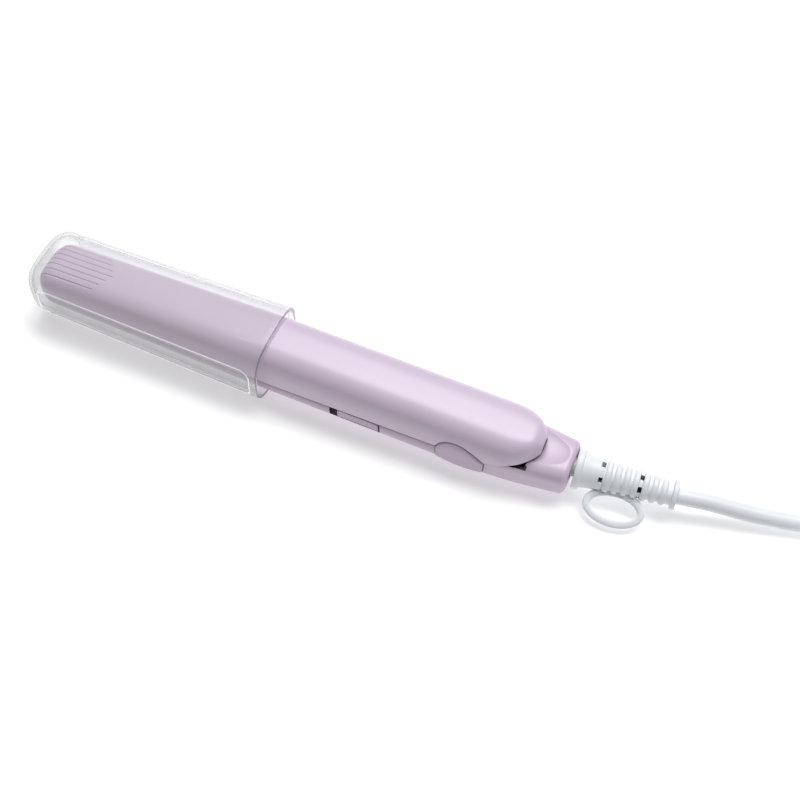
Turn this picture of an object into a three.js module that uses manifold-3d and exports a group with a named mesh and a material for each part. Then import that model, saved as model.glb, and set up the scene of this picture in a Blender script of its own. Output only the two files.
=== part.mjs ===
// A mini hair crimper with a clear protective cover, as an assembly of separate parts.
//
// Units are millimetres. The parts on the tool are drawn in the body frame: +X runs along the tool from
// the tip to the cord, +Z is up and -Y is the side with the switch and the lock button. The whole tool is
// then pitched a little, because it lies on the rim of its cover and on the back of its lower shell, and
// it is moved so that the origin is under the middle of the tool, on the table. The cord, the hank, the
// ties and the plug lie on the table and are drawn in that final frame.

import * as THREE from "three";
import { mergeVertices } from "three/addons/utils/BufferGeometryUtils.js";
import Module from "manifold-3d";

const wasm = await Module();
wasm.setup();

// ---- driving dimensions -------------------------------------------------------------------------

const PITCH_DEG = 1.5; // how far the tail leans down to the table
const GAP = 0.3; // between pieces that touch
const FAR = 200; // beyond the tool in every direction, for cutting tools
const WALL = 1.8; // shell thickness

// Both arms, measured from the plane where they part.
const PARTING_Z = -2;
const ARM_GAP = 0.5;
const ARM_TIP_X = -101.3;
const HEAD_X = -95;
const MOUTH_X = -7;
const TAPER_END_X = 75;
const TAIL_X = 106;
const TIP_ROUND = 6.5;
const HEAD_HALF = 11.1;
const BODY_HALF = 12.2;
const LOWER_INSET = 0.4; // how far the sides of the lower arm stand back from the upper arm's
const TAIL_HALF = 9.2;
const UPPER_HEAD_HEIGHT = 10;
const UPPER_HEIGHT = 13.8;
const LOWER_HEAD_DEPTH = 7.6;
const LOWER_DEPTH = 9.8;
const TAIL_DEPTH = 7.5;
const TAIL_RISE = 6.8;
const TAIL_ROUND = 2;
const UPPER_SQUARE = 3.3; // superellipse exponents: 2 is an ellipse, more is squarer
const LOWER_SQUARE = 3;
const TAIL_SQUARE = 3.4;

// The tongue, which is the rounded rear end of the upper arm.
const TONGUE_X = 81.8;
const TONGUE_LENGTH = 13.6;
const TONGUE_END_X = 95.1;
const TONGUE_ROUND = 5.5;

// The line where the arms part. It climbs along the handle, then runs up from the sides to under the tongue,
// where the lower shell stays low for a stretch and leaves a dark opening.
const SEAT_UPPER = [
  [-6, -1.75],
  [10, -1.4],
  [40, -0.6],
  [60, -0.1],
  [73, 0.1],
  [78.3, 0.4],
  [80.9, 1.4],
  [84.6, 3.1],
  [88.3, 4.2],
  [91.5, 5.1],
  [93.7, 5.4],
  [96, 5.6],
];
const SEAT_LOWER = [
  [-6, -2.25],
  [10, -2.15],
  [40, -1.4],
  [60, -0.9],
  [73, -0.7],
  [78.3, -0.4],
  [80.9, 0.5],
  [84.6, 1.9],
  [88, 2.4],
  [90.9, 2.6],
  [91.4, 3.9],
  [94, 4.3],
  [99, 4.75],
];

// Hinge.
const PIVOT_X = 87;
const PIVOT_Z = -1.5;
const PIN_R = 1.5;
const BUSH_R = 2.4;
const EAR_INNER = 3.4;
const EAR_OUTER = 5.8;
const EAR_R = 4;
const EAR_TOP = 10;
const EAR_LEAN = 2; // the rear edge leans forward, clear of the tail as the arm opens
const HINGE_ROOM_END = 91.4;
const HINGE_ROOM_HALF = 9;

// Finger grooves on the tip of the upper arm.
const GROOVES = 7;
const GROOVE_PITCH = 2.45;
const GROOVE_R = 0.45;
const GROOVE_START_X = -100.2;
const GROOVE_END_X = -73;
const GROOVE_STAGGER = 1.5;

// Power slider and its slot.
const SLOT_X = [19.3, 38.6];
const SLOT_Z = [-7, -1];
const SLIDER_X = [22.2, 37.9];
const SLIDER_TOP = -2.25;

// Lock button: a thumb pad that bridges the two arms, with an arched top and upright ends.
const LENS_X = [59.9, 77.5];
const LENS_Z = [-0.3, 0];
const LENS_ARCH = [
  [62.2, 5.9],
  [68.6, 6.8],
];
const LENS_END_Z = -5.6;
const LENS_BOTTOM_Z = -7.6;
const LENS_PROUD = 0.75;
const LENS_DEPTH = 7.7; // how near the middle its opening reaches

// Inner covers that close the handle, and their screws.
const COVERS_X = [-6, 58];
const UPPER_SCREWS_X = [4, 50];
const LOWER_SCREWS_X = [4, 52];

// Crimping plates and what carries and heats them.
const PLATE_X = [-95, -11];
const PLATE_HALF = 7.5;
const WAVE_PITCH = 3;
const WAVE_DEPTH = 0.9;
const PLATE_BACK = 2.2;
const CARRIER_HALF = 5.4;
const CARRIER_DEPTH = 2.3;
const RAILS_X = [
  [-86, -82],
  [-26, -22],
];
const HEATER_X = [-79, -31];
const HEATER_HALF = 4;
const CLIP_AT = 1.3;

// Protective cover.
const COVER_TIP_X = -103.8;
const COVER_WALL = 1.15;
const COVER_ROUND = 7;
const COVER_TIP = { half: 14.5, height: 12 };
const COVER_MOUTH = { half: 16.2, height: 13.7 };

// Swivelling cord guard, along its own axis from the tail face.
const GUARD_YAW_DEG = 6;
const GUARD_Y = 0.5;
const GUARD_Z = -1.5;
const GUARD_START = 0.8;
const FLANGE_R = 7.3;
const NECK_R = [6.5, 5.7];
const NECK_END = 10.3;
const RIBS = 7;
const RIB_PITCH = 3.23;
const RIB_R = [5.9, 4.7];
const RIB_DEPTH = 0.85;
const GUARD_END = 36.15;
const END_FLANGE_R = 5.4;
const WINDOW_RINGS = [9.9, 23.4];
const WINDOWS = 6; // in each ring
const WINDOW_TURN_DEG = -7;
const STEM_R = 3.4;
const BUSH_BORE_R = 4.3;
const COLLAR_R = 4.2;
const SPINDLE_R = 2.2;
const SPINDLE_START = -13;
const SLIP_R = 3;
const SLIP_RINGS = [-12.6, -10.6];
const SLIP_WIDTH = 1.2;
const CORD_BORE_R = 3.3;
const LOOP_TILT_DEG = 24;
const LOOP_CENTRE = [16.8, 10];
const LOOP_OUTER = [10.75, 6.75];
const LOOP_HOLE = [8, 3.7];
const LOOP_THICK = 2.2;

// Cord, hank, tie and plug, on the table. The hank's rows lie one cord above the other.
const CORD_R = 3;
const CORD_ROUTE = [
  [117.07, 3.7, 8.44],
  [122.59, 4.28, 8.3],
  [126, 4.85, 8.15],
  [130, 5.75, 7.85],
  [134.8, 6.85, 7.25],
  [140.2, 7.85, 6.4],
  [145.3, 8.9, 5.5],
  [150.4, 10, 4.8],
  [155.7, 11.2, 4.2],
  [160.2, 12.3, 3.8],
  [164.8, 13.5, 3.45],
  [170, 15, 3.2],
  [175.5, 16.5, 3.2],
  [181, 17.9, 3.25],
];
const CORD_TAIL = [
  [229, 5.2, 22.9],
  [235, 1.9, 24.2],
  [241, -0.9, 25.3],
  [247, -2.9, 26],
  [252, -3.8, 26.3],
  [256.7, -4, 26.4],
];
const HANK_X = [203, 269];
const HANK_Y = -4;
const HANK_R = 27.2;
const HANK_Z = [1.2, 19.3];
const TIE_X = [241.5, 249.5];
const TIE_THICK = 0.8;
const PLUG_X = [257, 265, 281, 287, 299]; // collar, shoulder, the two ends of the flare, and the face
const PLUG_HALF = [4, 6, 16.1, 17.6, 17.6];
const PLUG_Z = 26.5;
const PLUG_THICK = 13.6;
const PLUG_COLLAR_THICK = 8;
const PLUG_PIN_R = 2;
const PLUG_PIN_Y = 9.2;
const PLUG_PIN_X = [293.3, 318];

// ---- solids -------------------------------------------------------------------------------------

const lerp = THREE.MathUtils.lerp;
const radians = THREE.MathUtils.degToRad;

function toSolid(geometry) {
  const bare = geometry.clone();
  bare.deleteAttribute("normal");
  bare.deleteAttribute("uv");
  const merged = mergeVertices(bare, 1e-4);
  const mesh = new wasm.Mesh({
    numProp: 3,
    vertProperties: merged.attributes.position.array,
    triVerts: new Uint32Array(merged.index.array),
  });
  return new wasm.Manifold(mesh);
}

function toGeometry(solid) {
  const mesh = solid.getMesh();
  const geometry = new THREE.BufferGeometry();
  geometry.setAttribute("position", new THREE.BufferAttribute(mesh.vertProperties, 3));
  geometry.setIndex(new THREE.BufferAttribute(mesh.triVerts, 1));
  geometry.computeVertexNormals();
  return geometry;
}

const join = (first, ...others) => others.reduce((made, other) => made.add(other), first);
const cut = (first, ...tools) => tools.reduce((made, tool) => made.subtract(tool), first);

// A box from its lowest to its highest values along each axis.
function box([x0, x1], [y0, y1], [z0, z1]) {
  const geometry = new THREE.BoxGeometry(x1 - x0, y1 - y0, z1 - z0);
  return toSolid(geometry.translate((x0 + x1) / 2, (y0 + y1) / 2, (z0 + z1) / 2));
}

// A cylinder along "x", "y" or "z" from one value to another, at [a, b] on the other two axes in order.
function cylinder(axis, [from, to], [a, b], radius, sides = 20) {
  const geometry = new THREE.CylinderGeometry(radius, radius, to - from, sides);
  const middle = (from + to) / 2;
  if (axis === "x") geometry.rotateZ(-Math.PI / 2).translate(middle, a, b);
  if (axis === "y") geometry.translate(a, middle, b);
  if (axis === "z") geometry.rotateX(Math.PI / 2).translate(a, b, middle);
  return toSolid(geometry);
}

// An outline of [x, z] points, extruded across the tool from y0 to y1.
function acrossY(shape, [y0, y1], curveSegments = 12) {
  const geometry = new THREE.ExtrudeGeometry(shape, { depth: y1 - y0, bevelEnabled: false, curveSegments });
  return toSolid(geometry.rotateX(Math.PI / 2).translate(0, y1, 0));
}

// A tube of the given radius along a curve.
function tube(curve, radius, steps, sides = 8) {
  const section = new THREE.Shape().absarc(0, 0, radius, 0, 2 * Math.PI);
  const geometry = new THREE.ExtrudeGeometry(section, {
    steps,
    extrudePath: curve,
    bevelEnabled: false,
    curveSegments: sides,
  });
  return toSolid(geometry);
}

const through = (points, tension = 0.5) =>
  new THREE.CatmullRomCurve3(points.map((p) => new THREE.Vector3(...p)), false, "catmullrom", tension);

// A turned solid about +X: points are [distance along the axis, radius], from axis to axis.
function turned(points, sides = 32) {
  const profile = points.map(([along, radius]) => new THREE.Vector2(radius, along));
  return toSolid(new THREE.LatheGeometry(profile, sides).rotateZ(-Math.PI / 2));
}

// The upper half of a unit superellipse, from (-1, 0) over (0, 1) to (1, 0).
function halfOutline(square, points) {
  const outline = [];
  for (let i = 0; i <= points; i++) {
    const angle = Math.PI * (1 - i / points);
    const [c, s] = [Math.cos(angle), Math.sin(angle)];
    outline.push(new THREE.Vector2(Math.sign(c) * Math.abs(c) ** (2 / square), Math.max(s, 0) ** (2 / square)));
  }
  return outline.reverse();
}

// The whole unit superellipse.
function fullOutline(square, points) {
  const upper = halfOutline(square, points);
  const lower = upper.slice(1, -1).map((p) => new THREE.Vector2(p.x, -p.y));
  return [...upper, ...lower.reverse()];
}

// A body along X: the unit outline, scaled at each station and set on a base at z, above it or below it.
function loft(stations, outline, sizeAt, baseZ, side) {
  const steps = stations.length - 1;
  const section = new THREE.Shape(outline);
  const geometry = new THREE.ExtrudeGeometry(section, { depth: steps, steps, bevelEnabled: false });
  const place = geometry.attributes.position;
  for (let i = 0; i < place.count; i++) {
    const x = stations[Math.round(place.getZ(i))];
    const { half, height } = sizeAt(x);
    place.setXYZ(i, x, side * half * place.getX(i), baseZ + side * height * place.getY(i));
  }
  return toSolid(geometry);
}

function halfBody(stations, square, sizeAt, baseZ, side, points = 22) {
  return loft(stations, halfOutline(square, points), sizeAt, baseZ, side);
}

// How far a rounded end of the given radius has drawn in, at a distance from that end.
const drawnIn = (distance, radius) =>
  distance >= radius ? 0 : radius - Math.sqrt(radius ** 2 - (radius - Math.max(distance, 0)) ** 2);

// Stations for a rounded end: close together at the end, then further apart.
const roundedEnd = (from, radius, towards) =>
  [0, 0.05, 0.15, 0.32, 0.55, 1].map((share) => from + towards * radius * share);

function between(x, [x0, x1], [v0, v1]) {
  return lerp(v0, v1, THREE.MathUtils.clamp((x - x0) / (x1 - x0), 0, 1));
}

// How much of the narrowing to the tail has happened. It would go on beyond the tail face.
const towardsTail = (x) => THREE.MathUtils.smoothstep(x, TAPER_END_X, TAIL_X + 12) * 1.25;

function lowerHalf(x) {
  const head = between(x, [HEAD_X, MOUTH_X], [HEAD_HALF, BODY_HALF]);
  const inset = between(x, [TAPER_END_X, TONGUE_END_X], [LOWER_INSET, 0]);
  return head - inset - (BODY_HALF - TAIL_HALF) * towardsTail(x);
}

// ---- upper arm ----------------------------------------------------------------------------------

function upperSize(x, inset = 0) {
  const tip = drawnIn(x - ARM_TIP_X - inset, TIP_ROUND - inset);
  const height = between(x, [HEAD_X, MOUTH_X], [UPPER_HEAD_HEIGHT, UPPER_HEIGHT]);
  const tail = drawnIn(TONGUE_END_X - x, TONGUE_ROUND);
  const run = THREE.MathUtils.clamp((x - TONGUE_X) / TONGUE_LENGTH, 0, 1);
  const plan = between(x, [HEAD_X, MOUTH_X], [HEAD_HALF, BODY_HALF]) * Math.sqrt(1 - run ** 2);
  return { half: plan - tip - inset, height: height - tip - tail - inset };
}

const surfaceZ = (x, y) => {
  const { half, height } = upperSize(x);
  return PARTING_Z + height * (1 - Math.abs(y / half) ** UPPER_SQUARE) ** (1 / UPPER_SQUARE);
};

// Everything on one side of the seat line: below it for the upper arm, above it for the lower shell.
function seatCutter(points, side) {
  const [first, last] = [points[0], points[points.length - 1]];
  const shape = new THREE.Shape();
  shape.moveTo(-FAR, first[1]);
  shape.lineTo(first[0], first[1]);
  shape.splineThru(points.slice(1).map(([x, z]) => new THREE.Vector2(x, z)));
  shape.lineTo(FAR, last[1]);
  shape.lineTo(FAR, side * FAR);
  shape.lineTo(-FAR, side * FAR);
  return acrossY(shape, [-FAR, FAR], 2);
}

function groove(number) {
  const y = (number - (GROOVES - 1) / 2) * GROOVE_PITCH;
  const end = GROOVE_END_X - GROOVE_STAGGER * Math.abs(number - (GROOVES - 1) / 2);
  const stops = [0, 0.03, 0.08, 0.16, 0.3, 0.6, 1];
  const points = stops.map((share) => {
    const x = lerp(GROOVE_START_X, end, share);
    return [x, y, surfaceZ(x, y) + GROOVE_R * 0.25];
  });
  return tube(through(points), GROOVE_R, 14, 3);
}

// The outline of the lock button, grown by a margin.
function lens(margin) {
  const [left, right] = [LENS_X[0] - margin, LENS_X[1] + margin];
  const [rise, fall] = LENS_ARCH;
  const shape = new THREE.Shape();
  shape.moveTo(left, LENS_Z[0]);
  shape.lineTo(left, LENS_END_Z);
  shape.quadraticCurveTo((left + right) / 2, 2 * LENS_BOTTOM_Z - LENS_END_Z - 2 * margin, right, LENS_END_Z);
  shape.lineTo(right, LENS_Z[1]);
  const lift = 1.3 * margin; // a curve reaches about three quarters of the way to its control points
  shape.bezierCurveTo(fall[0] + margin, fall[1] + lift, rise[0] - margin, rise[1] + lift, left, LENS_Z[0]);
  return shape;
}

function upperShell() {
  const stations = [
    ...roundedEnd(ARM_TIP_X, TIP_ROUND, 1),
    MOUTH_X,
    60,
    TONGUE_X,
    ...[84.6, 87.2, 89.4, 91.2, 92.6, 93.6, 94.2, TONGUE_END_X],
  ];
  const outer = halfBody(stations, UPPER_SQUARE, (x) => upperSize(x), PARTING_Z, 1);
  const innerStations = [...roundedEnd(ARM_TIP_X + WALL, TIP_ROUND - WALL, 1), MOUTH_X, 60, 82, 86.5, 90.5];
  const inner = halfBody(innerStations, UPPER_SQUARE, (x) => upperSize(x, WALL), PARTING_Z, 1, 14);
  const grooves = Array.from({ length: GROOVES }, (_, number) => groove(number));
  const shell = cut(
    outer,
    inner,
    seatCutter(SEAT_UPPER, -1),
    acrossY(lens(GAP + 0.05), [-FAR, -LENS_DEPTH]),
    ...grooves,
  );
  const bosses = UPPER_SCREWS_X.map((x) =>
    cut(cylinder("z", [0.2, 10.8], [x, 0], 2.6, 14), cylinder("z", [0, 8], [x, 0], 1.2, 10)),
  );
  return join(shell, ...bosses, ear(1), ear(-1));
}

// One of the two ears that hang the upper arm on the hinge pin.
function ear(side) {
  const shape = new THREE.Shape();
  shape.moveTo(PIVOT_X - EAR_R, PIVOT_Z);
  shape.absarc(PIVOT_X, PIVOT_Z, EAR_R, Math.PI, 2 * Math.PI);
  shape.lineTo(PIVOT_X + EAR_R - EAR_LEAN, EAR_TOP - EAR_LEAN);
  shape.lineTo(PIVOT_X - EAR_R, EAR_TOP);
  const y = side > 0 ? [EAR_INNER, EAR_OUTER] : [-EAR_OUTER, -EAR_INNER];
  return cut(acrossY(shape, y), cylinder("y", [-FAR, FAR], [PIVOT_X, PIVOT_Z], BUSH_R + 0.1));
}

function upperInnerCover() {
  const plate = box(COVERS_X, [-9.4, 9.4], [-1.4, -0.1]);
  const holes = UPPER_SCREWS_X.map((x) => cylinder("z", [-3, 1], [x, 0], 1.3, 12));
  const sinks = UPPER_SCREWS_X.map((x) => cylinder("z", [-3, -0.8], [x, 0], 2.3, 16));
  return cut(plate, ...holes, ...sinks);
}

function coverScrew(x) {
  return join(cylinder("z", [-1.35, -0.85], [x, 0], 2, 16), cylinder("z", [-1, 7], [x, 0], 1, 10));
}

// ---- crimping plates ----------------------------------------------------------------------------

// A plate whose face is a row of lengthwise waves. The two faces mesh: both follow the same wave.
function crimpPlate(side) {
  const face = PARTING_Z + (side * ARM_GAP) / 2;
  const shape = new THREE.Shape();
  const count = Math.floor((2 * PLATE_HALF) / (WAVE_PITCH / 2));
  shape.moveTo(-PLATE_HALF, face + side * PLATE_BACK);
  shape.lineTo(-PLATE_HALF, face);
  for (let i = 1; i < count; i++) {
    const y = -PLATE_HALF + ((2 * PLATE_HALF) / count) * i;
    shape.lineTo(y, face + (i % 2 ? WAVE_DEPTH : -WAVE_DEPTH));
  }
  shape.lineTo(PLATE_HALF, face);
  shape.lineTo(PLATE_HALF, face + side * PLATE_BACK);
  const depth = PLATE_X[1] - PLATE_X[0];
  const geometry = new THREE.ExtrudeGeometry(shape, { depth, bevelEnabled: false });
  return toSolid(geometry.rotateX(Math.PI / 2).rotateZ(Math.PI / 2).translate(PLATE_X[0], 0, 0));
}

// Layers behind a plate, as distances from its back: the carrier holds the heater, and a clip presses it.
function behindPlate(side, x, half, [near, far]) {
  const back = PARTING_Z + side * (ARM_GAP / 2 + PLATE_BACK + GAP);
  const z = [back + side * near, back + side * far].sort((a, b) => a - b);
  return box(x, [-half, half], z);
}

function plateCarrier(side) {
  const frame = behindPlate(side, PLATE_X, CARRIER_HALF, [0, CARRIER_DEPTH]);
  const pocket = behindPlate(side, [PLATE_X[0] + 4, PLATE_X[1] + 4], CARRIER_HALF - 1, [-1, 5]);
  const rails = RAILS_X.map((x) => behindPlate(side, x, CARRIER_HALF - 0.5, [CARRIER_DEPTH - 0.4, CARRIER_DEPTH]));
  return join(cut(frame, pocket), ...rails);
}

const heater = (side) => behindPlate(side, HEATER_X, HEATER_HALF, [0, 1]);

// A leaf spring that hangs on the carrier's rails and presses the heater against the plate.
function heaterClip(side) {
  const leaf = behindPlate(side, [RAILS_X[0][0], RAILS_X[1][1]], 2.6, [CLIP_AT, CLIP_AT + 0.3]);
  const bumps = [-76, -60, -44].map((x) => behindPlate(side, [x, x + 3], 2.6, [CLIP_AT - 0.15, CLIP_AT + 0.3]));
  return join(leaf, ...bumps);
}

// ---- lower arm ----------------------------------------------------------------------------------

function lowerSize(x, inset = 0) {
  const tip = drawnIn(x - ARM_TIP_X - inset, TIP_ROUND - inset);
  const end = drawnIn(TAIL_X - x, TAIL_ROUND);
  const head = between(x, [HEAD_X, MOUTH_X], [LOWER_HEAD_DEPTH, LOWER_DEPTH]);
  const depth = head - (LOWER_DEPTH - TAIL_DEPTH) * towardsTail(x);
  return { half: lowerHalf(x) - tip - end - inset, height: depth - tip * 0.8 - end - inset };
}

function tailSize(x, inset = 0) {
  const end = drawnIn(TAIL_X - x, TAIL_ROUND);
  return { half: lowerHalf(x) - end - inset, height: TAIL_RISE - end - inset * 1.8 };
}

function lowerOuter() {
  const ends = [60, 75, 81, 88, 95, 101, ...roundedEnd(TAIL_X, TAIL_ROUND, -1).reverse()];
  const below = halfBody(
    [...roundedEnd(ARM_TIP_X, TIP_ROUND, 1), MOUTH_X, ...ends],
    LOWER_SQUARE,
    (x) => lowerSize(x),
    PARTING_Z,
    -1,
  );
  const above = halfBody([-4, ...ends], TAIL_SQUARE, (x) => tailSize(x), PARTING_Z, 1);
  return join(below, above);
}

function lowerHollow() {
  const below = halfBody(
    [...roundedEnd(ARM_TIP_X + WALL, TIP_ROUND - WALL, 1), MOUTH_X, 60, 77, 84, 91, 98.4],
    LOWER_SQUARE,
    (x) => lowerSize(x, WALL),
    PARTING_Z,
    -1,
    14,
  );
  const above = halfBody([-5, 60, 77, 84, 91, 98.4], TAIL_SQUARE, (x) => tailSize(x, WALL), PARTING_Z, 1, 14);
  const hingeRoom = box([76, HINGE_ROOM_END], [-HINGE_ROOM_HALF, HINGE_ROOM_HALF], [-4, 12]);
  return join(below, above, hingeRoom);
}

// The dished landing around the end of the tongue.
function dish() {
  const ball = new THREE.SphereGeometry(1, 28, 16);
  return toSolid(ball.scale(19.5, 10.2, 3.6).translate(PIVOT_X, 0, 6.5));
}

// A part turned from the body frame onto the guard's own axis, which starts at the tail face.
function onGuardAxis(solid) {
  const turn = new THREE.Matrix4().makeRotationZ(radians(GUARD_YAW_DEG));
  turn.setPosition(TAIL_X, GUARD_Y, GUARD_Z);
  return toSolid(toGeometry(solid).applyMatrix4(turn));
}

function lowerShell() {
  const bore = join(
    cylinder("x", [-9.2, -5.9], [0, 0], COLLAR_R + GAP, 24),
    cylinder("x", [-6, 4], [0, 0], BUSH_BORE_R, 24),
  );
  const bosses = [1, -1].map((side) => {
    const y = side > 0 ? [6.9, 10.6] : [-10.6, -6.9];
    return cylinder("y", y, [PIVOT_X, PIVOT_Z - 0.4], 2.9, 16);
  });
  const screwPosts = LOWER_SCREWS_X.map((x) => cylinder("z", [-11, -8.6], [x, 0], 3.4, 16));
  const screwHoles = LOWER_SCREWS_X.map((x) => cylinder("z", [-14, -8], [x, 0], 1.3, 12));
  const headHoles = LOWER_SCREWS_X.map((x) => cylinder("z", [-14, -9.9], [x, 0], 2.4, 16));
  const slotCut = box(SLOT_X, [-FAR, -8], SLOT_Z);
  const hollow = cut(lowerOuter(), lowerHollow());
  const solid = join(hollow, ...bosses, ...screwPosts);
  return cut(
    solid,
    seatCutter(SEAT_LOWER, 1),
    dish(),
    onGuardAxis(bore),
    cylinder("y", [-9.7, FAR], [PIVOT_X, PIVOT_Z], PIN_R + 0.15),
    slotCut,
    acrossY(lens(GAP), [-FAR, -LENS_DEPTH]),
    ...screwHoles,
    ...headHoles,
    restPlane(),
  );
}

// What the table takes off the back of the lower shell, so that the tool lies on a small flat.
function restPlane() {
  const block = new THREE.BoxGeometry(FAR, FAR, 20).translate(0, 0, -10);
  block.rotateY(-radians(PITCH_DEG)).translate(MOUTH_X, 0, -COVER_MOUTH.height);
  return toSolid(block);
}

function lowerInnerCover() {
  const deck = box(COVERS_X, [-9.5, 9.5], [-3.9, -2.6]);
  const posts = LOWER_SCREWS_X.map((x) => cylinder("z", [-8.3, -3], [x, 0], 2.6, 14));
  const holes = LOWER_SCREWS_X.map((x) => cylinder("z", [-9, -3.6], [x, 0], 1.15, 10));
  const sliderRoom = box([SLOT_X[0] - 1, SLOT_X[1] + 1], [-FAR, -7.4], [-5, -1]);
  return cut(join(deck, ...posts), ...holes, sliderRoom);
}

function baseScrew(x) {
  return join(cylinder("z", [-11.3, -10.1], [x, 0], 2.1, 16), cylinder("z", [-10.5, -4], [x, 0], 1, 10));
}

// ---- controls -----------------------------------------------------------------------------------

function powerSlider() {
  const skin = cut(
    halfBody([0, 60], LOWER_SQUARE, (x) => lowerSize(x), PARTING_Z, -1),
    halfBody([-1, 61], LOWER_SQUARE, (x) => lowerSize(x, WALL), PARTING_Z, -1, 14),
  );
  const face = skin.intersect(box(SLIDER_X, [-FAR, -6], [SLOT_Z[0] + GAP, SLIDER_TOP]));
  const foot = box([24, 34.8], [-10.6, -9.4], [-6, -3.4]);
  const peg = box([28.4, 30.4], [-9.6, -7.2], [-5.6, -4.2]);
  return join(face, foot, peg);
}

function switchBody() {
  const housing = box([20.5, 36], [-8.6, -2.5], [-7, -4.1]);
  const track = box([25, 31.5], [-9.5, -6.8], [-6.1, -3.9]);
  return cut(housing, track);
}

function lockButton() {
  const outside = join(
    halfBody([50, 90], UPPER_SQUARE, () => grown(upperSize(70)), PARTING_Z, 1),
    halfBody([50, 90], LOWER_SQUARE, () => grown(lowerSize(70)), PARTING_Z, -1),
  );
  const cap = acrossY(lens(0), [-FAR, -BODY_HALF + 1.9]).intersect(outside);
  const shank = box([66.5, 71.5], [-BODY_HALF + 1.5, -5], [-4.6, -2.9]);
  return join(cap, shank);
}

const grown = ({ half, height }) => ({ half: half + LENS_PROUD, height: height + LENS_PROUD });

// The guide that the lock button slides in, fixed to the lower shell.
function lockGuide() {
  const block = box([64.5, 73.5], [-8.4, -2.5], [-6.6, -2.6]);
  return cut(block, box([66, 72], [-9, -3.2], [-5, -2.5]));
}

// ---- hinge --------------------------------------------------------------------------------------

const hingePin = () => cylinder("y", [-9.5, 10.6], [PIVOT_X, PIVOT_Z], PIN_R, 20);

function hingeBush(side) {
  const y = side > 0 ? [EAR_INNER, EAR_OUTER] : [-EAR_OUTER, -EAR_INNER];
  const ring = cylinder("y", y, [PIVOT_X, PIVOT_Z], BUSH_R, 20);
  return cut(ring, cylinder("y", [-FAR, FAR], [PIVOT_X, PIVOT_Z], PIN_R + 0.1, 20));
}

// A torsion spring round the pin: one leg lies in the lower arm and the other in the upper arm.
function hingeSpring() {
  const [radius, wire, half, perTurn, turns] = [2.6, 0.4, 2.4, 8, 3.5];
  const points = [[PIVOT_X - 16, -half, -9], [PIVOT_X - 8, -half, -6.6], [PIVOT_X - 3, -half, PIVOT_Z - 3]];
  const steps = perTurn * turns;
  for (let i = 0; i <= steps; i++) {
    const angle = -Math.PI / 2 + (2 * Math.PI * i) / perTurn;
    const y = lerp(-half, half, i / steps);
    points.push([PIVOT_X + radius * Math.cos(angle), y, PIVOT_Z + radius * Math.sin(angle)]);
  }
  points.push([PIVOT_X - 3, half, PIVOT_Z + 4], [PIVOT_X - 8, half, 5.4], [PIVOT_X - 15, half, 9]);
  return tube(through(points), wire, 76, 3);
}

// ---- wiring -------------------------------------------------------------------------------------

const WIRE_R = 0.7;

const wire = (route) => tube(through(route), WIRE_R, 20, 3);

const WIRE_NEAR = [
  [90.4, -1.6, -7.4],
  [84, -3, -7.4],
  [70, -4.8, -8.2],
  [52, -4.8, -8.2],
  [42, -2.4, -8],
  [34, -1.2, -7.6],
  [20, -1.2, -7.6],
  [12, -3, -7.6],
  [4, -4.6, -7.4],
  [-6, -4, -6.4],
  [-14, -3.4, -5.7],
  [-30.5, -3.4, -5.7],
];

const WIRE_FAR = [
  [90.4, 1.6, -7.4],
  [84, 3, -7.4],
  [70, 4.8, -8],
  [40, 4.6, -7.6],
  [4, 4.6, -7.4],
  [-6, 4, -6.4],
  [-14, 3.4, -5.7],
  [-30.5, 3.4, -5.7],
];

// Flexible leads across to the upper arm's heater.
function upperWire(side) {
  return wire([
    [76, side * 5, 3.5],
    [40, side * 5, 3],
    [8, side * 5, 3],
    [-6, side * 4.4, 2.4],
    [-14, side * 3.4, 1.7],
    [-30.5, side * 3.4, 1.7],
  ]);
}

// Thermal fuse: a small can lying beside the far wire.
const thermalFuse = () => cylinder("x", [32, 42], [7, -6.8], 1.5, 14);

// ---- cover --------------------------------------------------------------------------------------

function coverSize(x, inset = 0) {
  const tip = drawnIn(x - COVER_TIP_X - inset, COVER_ROUND - inset);
  const run = (x - COVER_TIP_X) / (MOUTH_X - COVER_TIP_X);
  return {
    half: lerp(COVER_TIP.half, COVER_MOUTH.half, run) - tip - inset,
    height: lerp(COVER_TIP.height, COVER_MOUTH.height, run) - tip - inset,
  };
}

function coverBody(inset, mouth) {
  const stations = [...roundedEnd(COVER_TIP_X + inset, COVER_ROUND - inset, 1), mouth];
  return loft(stations, fullOutline(UPPER_SQUARE, 22), (x) => coverSize(x, inset), 0, 1);
}

const protectiveCover = () => cut(coverBody(0, MOUTH_X), coverBody(COVER_WALL, MOUTH_X + 3));

// ---- cord guard ---------------------------------------------------------------------------------

// Turned outline of the guard: flange, cone, ribs and end flange.
function guardProfile() {
  const outline = [
    [GUARD_START, 0],
    [GUARD_START, FLANGE_R],
    [GUARD_START + 2.2, FLANGE_R],
    [GUARD_START + 2.6, NECK_R[0]],
    [NECK_END, NECK_R[1]],
  ];
  for (let rib = 0; rib < RIBS; rib++) {
    const crest = lerp(RIB_R[0], RIB_R[1], rib / (RIBS - 1));
    const start = NECK_END + 0.6 + rib * RIB_PITCH;
    outline.push([start, crest - RIB_DEPTH], [start + 0.5, crest], [start + 1.9, crest]);
    outline.push([start + 2.4, crest - RIB_DEPTH]);
  }
  outline.push([GUARD_END - 1.8, RIB_R[1] - RIB_DEPTH], [GUARD_END - 1.5, END_FLANGE_R]);
  outline.push([GUARD_END, END_FLANGE_R], [GUARD_END, 0]);
  return outline;
}

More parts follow.
